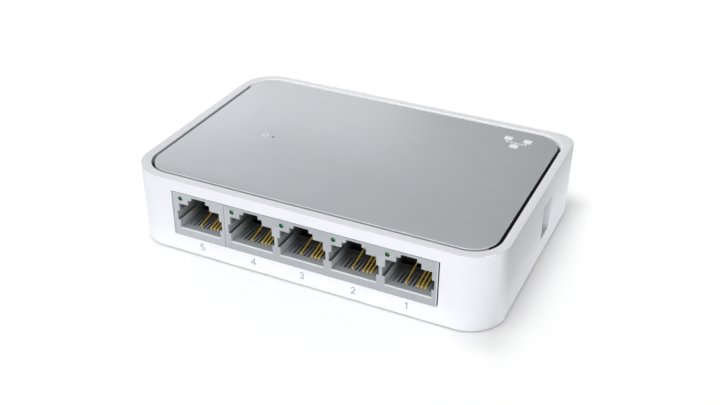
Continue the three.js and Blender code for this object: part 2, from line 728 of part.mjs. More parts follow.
// Barrel with a square flange, and a narrower nose that ends inside the chute.
function inletHousing() {
  const back = INLET_FACE - INLET_LENGTH;
  const flangeFront = INLET_FACE - INLET_NOSE_LENGTH;
  const flangeBack = flangeFront - INLET_FLANGE_LENGTH;
  const flangeTop = BOARD_TOP + INLET_FLANGE_HEIGHT;
  const barrelTop = BOARD_TOP + INLET_BARREL_HEIGHT;
  const halfWidth = INLET_WIDTH / 2;
  const shoulderY = halfWidth - INLET_TOP_RADIUS;
  const shoulderZ = barrelTop - INLET_TOP_RADIUS;
  const section = new THREE.Shape();
  section.moveTo(INLET_Y - halfWidth, BOARD_TOP);
  section.lineTo(INLET_Y + halfWidth, BOARD_TOP);
  section.absarc(INLET_Y + shoulderY, shoulderZ, INLET_TOP_RADIUS, 0, Math.PI / 2, false);
  section.absarc(INLET_Y - shoulderY, shoulderZ, INLET_TOP_RADIUS, Math.PI / 2, Math.PI, false);
  const barrel = prismAlongX(section, back, flangeFront - INLET_FLANGE_LENGTH / 2);
  const flange = box(
    [flangeBack, INLET_Y - halfWidth, BOARD_TOP],
    [flangeFront, INLET_Y + halfWidth, flangeTop],
  );
  const nose = box(
    [flangeFront - OVERRUN, INLET_Y - INLET_NOSE_WIDTH / 2, INLET_NOSE_BOTTOM],
    [INLET_FACE, INLET_Y + INLET_NOSE_WIDTH / 2, flangeTop],
  );
  const boreBack = INLET_FACE - INLET_BORE_DEPTH;
  const bore = cylinderOnInletAxis(INLET_BORE_RADIUS, boreBack, INLET_FACE + OVERRUN, ROUND_SEGMENTS);
  const tailHole = cylinderOnInletAxis(
    INLET_PIN_RADIUS + CLEARANCE,
    back - OVERRUN,
    boreBack + OVERRUN,
    SMALL_ROUND_SEGMENTS,
  );
  const slotHalf = LEAF_WIDTH / 2 + CLEARANCE;
  const leafSlot = box(
    [back + LEAF_SLOT_BACK_WALL, INLET_Y - slotHalf, INLET_Z - LEAF_SLOT_DEPTH],
    [INLET_FACE - LEAF_SLOT_FRONT_WALL, INLET_Y + slotHalf, INLET_Z - LEAF_SLOT_TOP],
  );
  return toGeometry(carve(join([barrel, flange, nose]), [bore, tailHole, leafSlot]));
}

// Centre pin, drawn about +Z with the tail below its shoulder.
function inletPin() {
  return placeOnInletAxis(turned([
    [0, -INLET_PIN_TAIL],
    [INLET_PIN_RADIUS, -INLET_PIN_TAIL],
    [INLET_PIN_RADIUS, 0],
    [2 * INLET_PIN_RADIUS, 0],
    [2 * INLET_PIN_RADIUS, INLET_PIN_SHOULDER],
    [INLET_PIN_RADIUS, INLET_PIN_SHOULDER],
    [INLET_PIN_RADIUS, INLET_PIN_LENGTH - INLET_PIN_NOSE],
    [INLET_PIN_RADIUS - INLET_PIN_NOSE, INLET_PIN_LENGTH],
    [0, INLET_PIN_LENGTH],
  ], SMALL_ROUND_SEGMENTS), INLET_FACE - INLET_BORE_DEPTH);
}

// Bowed leaf contact under the bore: the crest touches the sleeve of a plug.
function inletLeaf() {
  const half = LEAF_THICKNESS / 2;
  const side = outline([
    [0, -LEAF_ROOT_DROP - half],
    [LEAF_CREST_X, -LEAF_CREST_DROP - half],
    [LEAF_LENGTH, -LEAF_TIP_DROP - half],
    [LEAF_LENGTH, -LEAF_TIP_DROP + half],
    [LEAF_CREST_X, -LEAF_CREST_DROP + half],
    [0, -LEAF_ROOT_DROP + half],
  ]);
  return prismAlongY(side, -LEAF_WIDTH / 2, LEAF_WIDTH / 2).translate(LEAF_ROOT_X, INLET_Y, INLET_Z);
}

// ---- assembly ----

addPiece('upper_case', upperCase(), 'case');
addPiece('top_plate', topPlate(), 'plate');
addPiece('base_cover', baseCover(), 'cover');
footPlaces.forEach(([x, y], i) => {
  addPiece(`rubber_foot_${i + 1}`, rubberFoot(), 'rubber').position.set(x, y, 0);
});

addPiece('circuit_board', circuitBoard(), 'board');
[-POST_X, POST_X].forEach((x, i) => {
  addPiece(`board_screw_${i + 1}`, boardScrew(), 'steel').position.set(x, BACK_POST_Y, BOARD_TOP);
});
for (const [name, x, y, length, width, height, finish] of flatParts) {
  addPiece(name, flatPart(length, width, height), finish).position.set(x, y, BOARD_TOP);
}
capacitorPlaces.forEach(([x, y], i) => {
  addPiece(`smoothing_capacitor_${i + 1}`, capacitor(), 'sleeve').position.set(x, y, BOARD_TOP);
});
addPiece('clock_crystal', crystalCan(), 'nickel').position.set(CRYSTAL_X, CRYSTAL_Y, BOARD_TOP);

const portXs = [0, 1, 2, 3].map((i) => PORT_1_X - i * PORT_PITCH);
addPiece('quad_jack_housing', jackHousing(QUAD_JACK_SPAN, portXs), 'jack');
addPiece('single_jack_housing', jackHousing(SINGLE_JACK_SPAN, [PORT_5_X]), 'jack');
[...portXs, PORT_5_X].forEach((portX, i) => {
  const port = i + 1;
  for (const pin of FITTED_PINS) {
    const wire = addPiece(`contact_wire_${port}_${pin}`, contactWire(), 'gold');
    wire.position.set(pinX(portX, pin), WIRE_ROOT_Y, WIRE_ROOT_Z);
  }
  const lamp = addPiece(`link_lamp_${port}`, linkLamp(), 'greenLens');
  lamp.rotation.x = -Math.PI / 2;
  lamp.position.set(portX + LED_OFFSET_X, JACK_FRONT + LED_LENS_RECESS, LED_Z);
});

const [ledX, ledY, ledZ] = POWER_LED_SIZE;
addPiece('power_led', flatPart(ledX, ledY, ledZ), 'clearLens')
  .position.set(POWER_LAMP_X, POWER_LAMP_Y, BOARD_TOP);
addPiece('power_light_pipe', lightPipe(), 'clearLens').position.set(POWER_LAMP_X, POWER_LAMP_Y, 0);

addPiece('inlet_housing', inletHousing(), 'black');
addPiece('inlet_pin', inletPin(), 'nickel');
addPiece('inlet_leaf_contact', inletLeaf(), 'nickel');

export default object;
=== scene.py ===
import math

import bmesh
import bpy
from mathutils import Matrix, Vector


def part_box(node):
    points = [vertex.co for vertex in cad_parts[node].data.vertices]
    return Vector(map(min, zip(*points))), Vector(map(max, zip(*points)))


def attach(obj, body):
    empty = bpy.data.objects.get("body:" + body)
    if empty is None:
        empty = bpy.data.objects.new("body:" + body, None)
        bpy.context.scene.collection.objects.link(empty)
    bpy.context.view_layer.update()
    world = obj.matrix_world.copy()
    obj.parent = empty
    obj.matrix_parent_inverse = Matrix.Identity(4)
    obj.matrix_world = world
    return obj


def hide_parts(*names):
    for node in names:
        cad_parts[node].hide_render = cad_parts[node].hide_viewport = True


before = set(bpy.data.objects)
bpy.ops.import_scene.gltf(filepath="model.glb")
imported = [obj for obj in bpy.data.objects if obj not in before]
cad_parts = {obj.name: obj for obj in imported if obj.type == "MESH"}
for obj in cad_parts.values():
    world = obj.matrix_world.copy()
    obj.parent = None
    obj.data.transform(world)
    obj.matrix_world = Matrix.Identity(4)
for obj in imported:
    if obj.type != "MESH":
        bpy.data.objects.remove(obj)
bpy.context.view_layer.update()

# Everything is in metres, in the CAD frame: +X to the right as seen from the port side, +Y away
# from the ports, +Z up. MM turns the small sizes below into metres.
MM = 0.001
BODY = "switch_body"

# ---- sizes read from the frame ----

CASE_LOW, CASE_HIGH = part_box("upper_case")
PLATE_LOW, PLATE_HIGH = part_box("top_plate")
FRONT_Y = CASE_LOW.y
SIDE_X = CASE_HIGH.x
TOP_Z = CASE_HIGH.z
JACK_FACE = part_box("quad_jack_housing")[0].y
PORTS = (1, 2, 3, 4, 5)
PINS = (1, 2, 3, 6)
JACKS = {"quad_jack_housing": (1, 2, 3, 4), "single_jack_housing": (5,)}
PIN_PITCH = 1.016 * MM
PIN_SLOTS = 8


def middle(low, high):
    """Middle of a box."""
    return (low + high) / 2


def pin_offset(pin):
    """Distance of a pin's slot from the middle of its port."""
    return ((PIN_SLOTS + 1) / 2 - pin) * PIN_PITCH


def port_x(port):
    """X of a port's middle."""
    return middle(*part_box(f"contact_wire_{port}_1")).x - pin_offset(1)


# ---- sizes of the visible shapes ----

# Corner radii of the case: front right, back right, back left, front left
CORNER_RADII = [10.3 * MM, 5.5 * MM, 10.3 * MM, 10.3 * MM]
# Angle at which the front corners meet the side walls, in degrees
CREASE = 10
WALL = 2 * MM
RIM_WIDTH = 2.35 * MM
POCKET_RADIUS = 8 * MM
CORNER_STEPS = 20
EDGE_STEPS = 4
OUTER_EDGE = 0.16 * MM
FOOT_EDGE = 0.14 * MM
RIM_EDGE = 0.1 * MM
# The rim is a little wider on the left than on the right, and the plate lies a little forward in
# its pocket
LEFT_RIM_EXTRA = 0.33 * MM
PLATE_FORWARD = 0.15 * MM
PLATE_GAP_EXTRA = 0.17 * MM
PLATE_EDGE = 0.22 * MM
POCKET_MARGIN = 0.05 * MM
LAMP_HOLE = 0.37 * MM
LAMP_HOLE_CUT = 4 * MM
HOLE_SIDES = 24
WINDOW_GAP_SIDE = 0.2 * MM
WINDOW_GAP_RIGHT = 0.4 * MM
WINDOW_GAP_BELOW = 0.1 * MM
WINDOW_GAP_ABOVE = 0.15 * MM
WINDOW_EDGE = 0.12 * MM
TOP_WALL = 1.6 * MM
CLEARANCE = 0.3 * MM
CHUTE_WIDTH = 7.7 * MM
CHUTE_HEIGHT = 9.9 * MM
CHUTE_RISE = 0.3 * MM
CHUTE_BACK = 0.55 * MM
CHUTE_WALL = 0.9 * MM
CHUTE_CHAMFER = 0.65 * MM
CHUTE_CUT = 9 * MM
# How far into the chute its walls show
CHUTE_SHOWN = 5 * MM
# How far a cutter reaches past the face that it opens
OVERRUN = 1 * MM
# Places as close as this count as one: the first for faces, the second for points
NEAR = 0.01 * MM
TOUCH = 0.001 * MM
# Edges sharper than this are shaded sharp, and those of some pieces rounded, in degrees
SHARP = 40
SOFTENED = 35


# ---- small mesh tools ----

def new_object(name, data):
    item = bpy.data.objects.new(name, data)
    bpy.context.scene.collection.objects.link(item)
    return item


def finish_mesh(name, bm, smooth_angle=None):
    """Turns a bmesh into an object; edges sharper than smooth_angle (degrees) stay sharp."""
    bmesh.ops.recalc_face_normals(bm, faces=bm.faces)
    mesh = bpy.data.meshes.new(name)
    bm.to_mesh(mesh)
    bm.free()
    if smooth_angle is not None:
        mesh.shade_smooth()
        mesh.set_sharp_from_angle(angle=math.radians(smooth_angle))
    return new_object(name, mesh)


def arc(centre, radius, start, end, steps=14):
    """Points along an arc, between two angles in degrees."""
    angles = [math.radians(start + (end - start) * i / steps) for i in range(steps + 1)]
    return [(centre[0] + radius * math.cos(a), centre[1] + radius * math.sin(a)) for a in angles]


def rounded_outline(half_x, half_y, radii, front_stops=(), crease=0):
    """Anticlockwise points round a rounded rectangle. The stops are X values of added points on the
    straight front side. With a crease the front corners meet the side walls at that angle, in degrees."""
    points = [(x, -half_y) for x in front_stops]
    spans = ((1, -1, -90, -crease), (1, 1, 0, 90), (-1, 1, 90, 180), (-1, -1, 180 + crease, 270))
    for (sign_x, sign_y, start, end), radius in zip(spans, radii):
        reach = math.cos(math.radians(crease)) if sign_y < 0 else 1
        centre = (sign_x * (half_x - radius * reach), sign_y * (half_y - radius))
        points.extend(arc(centre, radius, start, end, CORNER_STEPS))
    return points


def loft(bm, rings):
    """Skins a list of rings of (x, y, z) points and caps both ends. Returns the grid of vertices."""
    grid = [[bm.verts.new(point) for point in ring] for ring in rings]
    count = len(grid[0])
    for lower, upper in zip(grid, grid[1:]):
        for i in range(count):
            j = (i + 1) % count
            bm.faces.new((lower[i], lower[j], upper[j], upper[i]))
    bm.faces.new(grid[0])
    bm.faces.new(grid[-1])
    return grid


def add_box(bm, low, high):
    """Adds an axis-aligned box between two corners."""
    size = Vector(high) - Vector(low)
    matrix = Matrix.Translation(middle(Vector(low), Vector(high))) @ Matrix.Diagonal((*size, 1))
    bmesh.ops.create_cube(bm, size=1, matrix=matrix)


def add_prism(bm, outline, place):
    """Adds a closed prism. place(a, b, end) gives the point of outline point (a, b) at end 0 or 1."""
    loft(bm, [[place(a, b, end) for a, b in outline] for end in (0, 1)])


def circle(radius, steps, centre=(0, 0)):
    """Points round a circle."""
    angles = [2 * math.pi * i / steps for i in range(steps)]
    return [(centre[0] + radius * math.cos(a), centre[1] + radius * math.sin(a)) for a in angles]


def apply_modifiers(piece):
    """Bakes a piece's modifiers into its mesh."""
    graph = bpy.context.evaluated_depsgraph_get()
    mesh = bpy.data.meshes.new_from_object(piece.evaluated_get(graph))
    old = piece.data
    piece.modifiers.clear()
    piece.data = mesh
    bpy.data.meshes.remove(old)


def combine(piece, cutter_bm, operation):
    """Adds a bmesh of closed solids to a piece, or cuts it out of the piece."""
    cutter = finish_mesh("cutter", cutter_bm)
    modifier = piece.modifiers.new("combine", "BOOLEAN")
    modifier.operation = operation
    modifier.solver = "EXACT"
    modifier.use_self = True
    modifier.object = cutter
    bpy.context.view_layer.update()
    apply_modifiers(piece)
    bpy.data.objects.remove(cutter)


def cut(piece, cutter_bm):
    """Cuts a bmesh of closed solids out of a piece."""
    combine(piece, cutter_bm, "DIFFERENCE")


def soften_edges(piece, width):
    """Rounds a piece's edges that are sharper than SOFTENED."""
    bevel = piece.modifiers.new("soft_edges", "BEVEL")
    bevel.width = width
    bevel.segments = 2
    bevel.limit_method = "ANGLE"
    bevel.angle_limit = math.radians(SOFTENED)
    bevel.miter_outer = "MITER_ARC"
    bpy.context.view_layer.update()


# ---- materials ----

def principled(name, color, roughness, metallic=0.0):
    """A Principled material whose constant values are set on its own sockets."""
    material = bpy.data.materials.new(name)
    material.use_nodes = True
    shader = material.node_tree.nodes["Principled BSDF"]
    shader.inputs["Base Color"].default_value = (*color, 1)
    shader.inputs["Roughness"].default_value = roughness
    shader.inputs["Metallic"].default_value = metallic
    return material


def map_range(tree, socket, source, target=(0, 1)):
    """Maps a socket's values from one range to another, held at its ends."""
    node = tree.nodes.new("ShaderNodeMapRange")
    for name, value in zip(("From Min", "From Max", "To Min", "To Max"), (*source, *target)):
        node.inputs[name].default_value = value
    tree.links.new(socket, node.inputs["Value"])
    return node.outputs["Result"]


def tone_ramp(tree, socket, start, tones):
    """Grey ramp of tones at distances in mm along a coordinate, from a start in metres."""
    furthest = tones[-1][0]
    ramp = tree.nodes.new("ShaderNodeValToRGB")
    stops = ramp.color_ramp.elements
    stops[0].color = (*[tones[0][1]] * 3, 1)
    stops[1].color = (*[tones[-1][1]] * 3, 1)
    for place, tone in tones[1:-1]:
        stops.new(place / furthest).color = (tone, tone, tone, 1)
    distance = map_range(tree, socket, (start, start + furthest * MM))
    tree.links.new(distance, ramp.inputs["Fac"])
    return ramp.outputs["Color"]


def multiplied(tree, first, second):
    """Product of two colour sockets."""
    mix = tree.nodes.new("ShaderNodeMix")
    mix.data_type = "RGBA"
    mix.blend_type = "MULTIPLY"
    mix.inputs["Factor"].default_value = 1
    tree.links.new(first, mix.inputs["A"])
    tree.links.new(second, mix.inputs["B"])
    return mix.outputs["Result"]


def object_axes(tree):
    """X, Y and Z sockets of the object's own coordinates."""
    place = tree.nodes.new("ShaderNodeTexCoord")
    apart = tree.nodes.new("ShaderNodeSeparateXYZ")
    tree.links.new(place.outputs["Object"], apart.inputs["Vector"])
    return apart.outputs


def light_up(tree, color, glow):
    """Gives a material a faint light of its own, as strong as a socket says."""
    shader = tree.nodes["Principled BSDF"]
    shader.inputs["Emission Color"].default_value = (*color, 1)
    tree.links.new(glow, shader.inputs["Emission Strength"])


def tint_base(material, tint):
    """Multiplies a material's base colour by a colour socket."""
    tree = material.node_tree
    base = tree.nodes["Principled BSDF"].inputs["Base Color"]
    tree.links.new(multiplied(tree, base.links[0].from_socket, tint), base)


def tint_along(material, axis, start, tones):
    """Multiplies a material's base colour by tones along an axis of the object, from a start."""
    tree = material.node_tree
    tint_base(material, tone_ramp(tree, object_axes(tree)[axis], start, tones))
    return material


def shade_side_wall(material):
    """Paints shade on the right-hand wall at its top and front, and a glow near the floor as painted light.
    Both set in round the corners of the case."""
    tree = material.node_tree
    x, y, z = object_axes(tree)
    along = tone_ramp(tree, y, FRONT_Y, WALL_TONES)
    product = multiplied(tree, along, tone_ramp(tree, z, 0, WALL_RISE_TONES))
    blend = map_range(tree, x, (SIDE_TONE_START, SIDE_X))
    mix = tree.nodes.new("ShaderNodeMix")
    mix.data_type = "RGBA"
    mix.inputs["A"].default_value = (1, 1, 1, 1)
    tree.links.new(blend, mix.inputs["Factor"])
    tree.links.new(product, mix.inputs["B"])
    tint_base(material, mix.outputs["Result"])
    light_up(tree, (1, 1, 1), multiplied(tree, blend, tone_ramp(tree, z, 0, WALL_GLOW)))
    return material


def light_front_wall(material):
    """Gives the front wall a painted glow towards its foot, for the light that it gathers from the floor."""
    tree = material.node_tree
    x, _, z = object_axes(tree)
    glow = multiplied(tree, tone_ramp(tree, z, 0, FRONT_GLOW), tone_ramp(tree, x, -SIDE_X, FRONT_FADE))
    light_up(tree, (0.96, 0.97, 1), glow)
    return material


def grained(name, color, roughness, metallic=0.0, tone=0.02, rough_spread=0.06, cell=0.35 * MM, bump=0.05,
            drift=6 * MM):
    """A material with moulded grain: a slow drift of tone, a fine mottle of gloss, and a fine bump."""
    material = principled(name, color, roughness, metallic)
    tree = material.node_tree
    nodes, links = tree.nodes, tree.links
    shader = nodes["Principled BSDF"]
    place = nodes.new("ShaderNodeTexCoord")
    slow = nodes.new("ShaderNodeTexNoise")
    slow.inputs["Scale"].default_value = 1 / drift
    slow.inputs["Detail"].default_value = 3
    fine = nodes.new("ShaderNodeTexNoise")
    fine.inputs["Scale"].default_value = 1 / cell
    fine.inputs["Detail"].default_value = 4
    fine.inputs["Roughness"].default_value = 0.65
    for noise in (slow, fine):
        links.new(place.outputs["Object"], noise.inputs["Vector"])
    tones = nodes.new("ShaderNodeValToRGB")
    dark, light = tones.color_ramp.elements
    dark.position, light.position = NOISE_RANGE
    dark.color = (*[c * (1 - tone) for c in color], 1)
    light.color = (*[min(1, c * (1 + tone)) for c in color], 1)
    links.new(slow.outputs["Fac"], tones.inputs["Fac"])
    links.new(tones.outputs["Color"], shader.inputs["Base Color"])
    spread = (max(0.02, roughness - rough_spread), roughness + rough_spread)
    links.new(map_range(tree, fine.outputs["Fac"], NOISE_RANGE, spread), shader.inputs["Roughness"])
    relief = nodes.new("ShaderNodeBump")
    relief.inputs["Strength"].default_value = bump
    relief.inputs["Distance"].default_value = GRAIN_DEPTH
    links.new(fine.outputs["Fac"], relief.inputs["Height"])
    links.new(relief.outputs["Normal"], shader.inputs["Normal"])
    return material


def glowing(material, color, strength):
    """Adds a faint glow of its own: painted light for edges and small parts that gather light from all round.
    """
    shader = material.node_tree.nodes["Principled BSDF"]
    shader.inputs["Emission Color"].default_value = (*color, 1)
    shader.inputs["Emission Strength"].default_value = strength
    return material


def moulded_white(name):
    """The white plastic of the case."""
    return grained(name, CASE_WHITE, 0.36, tone=0.008, rough_spread=0.04, bump=0.06)


def depth_shaded_cavity_grey(name, roughness, depth_shade_tones):
    """The grey of the jack's moulding inside a mouth, with painted shade and light at each depth."""
    material = grained(name, JACK_GREY, roughness, tone=0.015, cell=0.2 * MM, bump=0.1)
    return tint_along(material, "Y", JACK_FACE, depth_shade_tones)


# Part of a noise's values that covers the whole range of tone or gloss
NOISE_RANGE = (0.3, 0.7)
GRAIN_DEPTH = 0.01 * MM
CASE_WHITE = (0.855, 0.862, 0.905)
PLATE_GREY = (0.453, 0.48, 0.503)
JACK_GREY = (0.475, 0.502, 0.53)


# Pairs of a distance in mm and a tone there: painted shade and light of a jack's mouth at each depth
# behind the port face, on its floor, its left side, the groove in that side, and above the groove
FLOOR_TONES = [(0, 0.9), (1.2, 1.0), (2, 1.0), (3, 0.92), (4, 0.8), (5, 0.66), (6, 0.53), (7, 0.43), (8, 0.3),
               (9, 0.2), (10, 0.13), (13.2, 0.03)]
SIDE_TONES = [(0, 1.25), (1, 1.6), (2, 1.75), (3, 1.8), (4, 1.7), (5, 1.4), (6, 1.05), (7, 0.75), (8, 0.48),
              (9, 0.3), (10.3, 0.15), (13.2, 0.05)]
GROOVE_TONES = [(0, 1.1), (1, 1.35), (2, 1.25), (3, 1.1), (4, 0.95), (6, 0.7), (8, 0.4), (13.2, 0.1)]
UPPER_TONES = [(0, 1.1), (0.5, 0.95), (1.2, 0.4), (3, 0.25), (13.2, 0.05)]
# Painted shade and light of the right-hand wall: its tone at each distance behind the front, and at each
# height
WALL_TONES = [(0, 0.8), (11, 0.81), (18, 0.86), (27, 0.87), (36, 0.9), (48, 0.99), (62, 1.0), (70, 1.0)]
WALL_RISE_TONES = [(0, 1.29), (2, 1.28), (5, 1.25), (8, 1.2), (11, 1.12), (14, 1.03), (17, 0.93), (20, 0.86),
                   (22, 0.83)]
# The same painted shade for the inlet chute at each height, and for the case at each distance from its left
# side
CHUTE_TONES = [(0, 1.0), (10, 1.0), (12.5, 0.93), (15, 0.85), (16, 0.74), (22, 0.7)]
LEFT_TONES = [(0, 0.86), (1.5, 0.89), (4, 0.92), (8, 0.955), (13, 0.97), (30, 0.975), (60, 1.0), (104, 1.0)]
# Painted glow for the light that the right-hand and the front wall gather from the floor, at each height.
# The front wall's glow fades out round the right-hand corner, and the side wall's sets in at an X there
WALL_GLOW = [(0, 0.12), (2, 0.115), (5, 0.07), (8, 0.035), (11, 0.0), (22, 0.0)]
FRONT_GLOW = [(0, 0.13), (1, 0.125), (3, 0.1), (5, 0.06), (8, 0.02), (12, 0), (22, 0)]
FRONT_FADE = [(0, 1), (90, 1), (102.3, 0), (103.5, 0)]
SIDE_TONE_START = 50.5 * MM
LOWER_FRONT_TOP = 12 * MM


def make_case_materials():
    """White materials of the case for walls, edges, pocket and inlet chute, carrying painted light and shade.
    """
    names = ("case_white", "case_front_painted_glow_and_shade", "case_side_painted_shade_and_glow")
    case, front, side = [moulded_white(name) for name in names]
    pocket = grained("pocket_wall_painted_light", (0.95, 0.95, 0.97), 0.4, tone=0.005)
    edge = grained("case_edge_painted_highlight", (0.97, 0.97, 0.98), 0.25, tone=0.005, bump=0.02)
    # Whites of the chute's wall and floor, a little darker than the case: painted shade
    wall_white, floor_white = [[c * share for c in CASE_WHITE] for share in (0.99, 0.96)]
    chute = grained("chute_wall_painted_shade", wall_white, 0.45, tone=0.008, bump=0.06)
    return {
        # The case's white darkens towards its left side: painted shade
        "case": tint_along(case, "X", -SIDE_X, LEFT_TONES),
        # Front wall: the same painted shade, and a painted glow towards its foot
        "case_front_glow_and_shade": light_front_wall(tint_along(front, "X", -SIDE_X, LEFT_TONES)),
        # Right-hand wall: painted shade at its top and front, painted glow near the floor
        "case_side_shade_and_glow": shade_side_wall(side),
        # Edges of the chute and the pocket glow: painted highlight
        "case_edge_highlight": glowing(edge, (1, 1, 1), 0.34),
        # Greyer front shoulder of the rim: painted shade
        "case_shoulder_shade": grained("case_shoulder_painted_shade", (0.74, 0.75, 0.79), 0.36, tone=0.005),
        # Back wall of the pocket glows: painted light
        "pocket_wall_glow": glowing(pocket, (1, 1, 1), 0.28),
        # Chute walls darker towards the top: painted shade
        "chute_wall_shade": tint_along(chute, "Z", 0, CHUTE_TONES),
        # Chute floor a little darker than the case: painted shade
        "chute_floor_shade": grained("chute_floor_painted_shade", floor_white, 0.45, tone=0.008, bump=0.06),
    }


def make_materials():
    """All other materials, by the names that the pieces ask for."""
    gold = grained("contact_gold", (0.98, 0.70, 0.09), 0.3, metallic=0.3, tone=0.04, cell=0.1 * MM, bump=0.08,
                   drift=1.2 * MM)
    return {
        "plate": grained("plate_grey", PLATE_GREY, 0.36, metallic=0.5, tone=0.015, cell=0.12 * MM, bump=0.12),
        # Sides of the plate: a lighter grey as painted light
        "plate_side_lit": grained("plate_side_lit_grey", (0.54, 0.56, 0.575), 0.5),
        # Near black for the shade in the groove, on the plate's right-hand side and the pocket floor: painted
        # shade
        "groove_shade": grained("groove_painted_shade", (0.012, 0.012, 0.013), 0.6, tone=0.1),
        # Lighter bevel round the plate: painted highlight
        "plate_edge_highlight": grained("plate_edge_highlight", (0.92, 0.94, 0.96), 0.3),
        "cover": grained("cover_white", (0.78, 0.785, 0.80), 0.55, tone=0.015, cell=0.25 * MM, bump=0.3),
        "rubber": grained("rubber_black", (0.025, 0.025, 0.028), 0.8, tone=0.15, bump=0.4),
        "jack": grained("jack_grey", JACK_GREY, 0.42, tone=0.015, cell=0.2 * MM, bump=0.1),
        # Insides of the mouths: painted shade deepening with depth, and painted light near the front of the
        # left side
        "cavity": depth_shaded_cavity_grey("depth_shaded_cavity_grey", 0.5, FLOOR_TONES),
        "cavity_left": depth_shaded_cavity_grey("cavity_side_lit_and_shaded", 0.45, SIDE_TONES),
        "cavity_groove": depth_shaded_cavity_grey("cavity_groove_lit_and_shaded", 0.45, GROOVE_TONES),
        "cavity_upper": depth_shaded_cavity_grey("cavity_upper_lit_and_shaded", 0.45, UPPER_TONES),
        # Dark line along the groove's ledge: painted shadow
        "cavity_ledge_shadow": grained("cavity_ledge_painted_shadow", [c * 0.3 for c in JACK_GREY], 0.6),
        # Near black at the back, in the slots and on undersides of the mouths: painted shadow
        "cavity_shadow": grained("cavity_painted_shadow", (0.012, 0.012, 0.013), 0.6, tone=0.1),
        # Near black on the outer sides of the housings and in the lamp bores: painted shade
        "jack_side_shade": grained("jack_side_painted_shade", (0.05, 0.052, 0.055), 0.6, tone=0.05),
        # Light grey on the lips and the end chamfer: painted highlight
        "jack_lip_highlight": grained("jack_lip_highlight", (0.80, 0.82, 0.84), 0.25),
        # Gold with a faint glow: painted light on the wires
        "gold": glowing(gold, (1, 0.62, 0.05), 0.07),
        "green_lens": grained("lens_green", (0.003, 0.30, 0.048), 0.2, tone=0.25, drift=0.5 * MM, bump=0.02),
        "clear_lens": grained("lens_clear", (0.55, 0.58, 0.57), 0.15, tone=0.05, bump=0.02),
        "board": grained("board_green", (0.012, 0.10, 0.035), 0.4, tone=0.2, drift=2 * MM, bump=0.1),
        "chip": grained("chip_black", (0.02, 0.02, 0.022), 0.6, tone=0.1, cell=0.08 * MM, bump=0.3),
        "inlet": grained("inlet_black", (0.015, 0.015, 0.017), 0.45, tone=0.1, cell=0.2 * MM, bump=0.15),
        "nickel": grained("nickel_plate", (0.62, 0.61, 0.59), 0.24, metallic=1.0, tone=0.04),
        "steel": grained("screw_steel", (0.42, 0.42, 0.43), 0.35, metallic=1.0, tone=0.08, bump=0.1),
        "sleeve": grained("sleeve_blue", (0.012, 0.02, 0.05), 0.3, tone=0.1),
        "label_grey": grained("print_grey", (0.27, 0.28, 0.295), 0.5, tone=0.03, cell=0.1 * MM),
        "label_white": grained("print_white", (0.95, 0.96, 0.98), 0.35, tone=0.01, cell=0.1 * MM),
    }


MATERIALS = {**make_case_materials(), **make_materials()}


def dress(piece, material, body=BODY, replaces=()):
    """Gives a piece its material, the body it moves with, and the CAD nodes that it stands for."""
    piece.data.materials.clear()
    piece.data.materials.append(MATERIALS[material])
    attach(piece, body)
    if replaces:
        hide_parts(*replaces)


def paint_faces(piece, material, chosen):
    """Gives the faces that chosen() picks another material."""
    piece.data.materials.append(MATERIALS[material])
    index = len(piece.data.materials) - 1
    for face in piece.data.polygons:
        if chosen(face):
            face.material_index = index


# ---- case ----

QUAD_LOW, QUAD_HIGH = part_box("quad_jack_housing")
SINGLE_LOW, SINGLE_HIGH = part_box("single_jack_housing")
WINDOW_X = (SINGLE_LOW.x - WINDOW_GAP_SIDE, QUAD_HIGH.x + WINDOW_GAP_RIGHT)
WINDOW_Z = (QUAD_LOW.z - WINDOW_GAP_BELOW, QUAD_HIGH.z + WINDOW_GAP_ABOVE)


def quarter_turn():
    """Angles from 0 to 90 degrees, in radians."""
    return [math.radians(90 * i / EDGE_STEPS) for i in range(EDGE_STEPS + 1)]


def case_ring(inset, z):
    """Ring of the outer skin, the inner skin or the rim's top, at a distance in from the outside."""
    radii = [radius - inset for radius in CORNER_RADII]
    outline = rounded_outline(SIDE_X - inset, -FRONT_Y - inset, radii, WINDOW_X, CREASE)
    return [(x, y, z) for x, y in outline]


def pocket_ring(inset, z, stops=WINDOW_X, forward=0):
    """Ring with the even corners of the plate's pocket."""
    radii = [POCKET_RADIUS + RIM_WIDTH - inset] * 4
    shift = LEFT_RIM_EXTRA / 2
    outline = rounded_outline(SIDE_X - inset - shift, -FRONT_Y - inset, radii, stops)
    return [(x + shift, y - forward, z) for x, y in outline]


def open_window(bm, grid, outer_rows, inner_rows):
    """Opens the port window through the front wall, between its outer and its inner skin."""
    doomed = []
    for low, high in (outer_rows, inner_rows):
        corners = {grid[low][0], grid[low][1], grid[high][0], grid[high][1]}
        doomed.extend(face for face in grid[low][0].link_faces if set(face.verts) == corners)
    bmesh.ops.delete(bm, geom=doomed, context="FACES")
    bmesh.ops.bridge_loops(bm, edges=[e for e in bm.edges if e.is_boundary])


def within(value, bounds, margin=TOUCH):
    """Whether a value lies between bounds, or past them by less than a margin."""
    return bounds[0] - margin < value < bounds[1] + margin


def chute_bounds():
    """Hollow of the inlet chute: its sides, its levels and the face of the inlet housing inside it."""
    low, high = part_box("inlet_housing")
    centre = middle(low, high).y
    top = high.z + CHUTE_RISE
    return (centre - CHUTE_WIDTH / 2, centre + CHUTE_WIDTH / 2), (top - CHUTE_HEIGHT, top), high.x


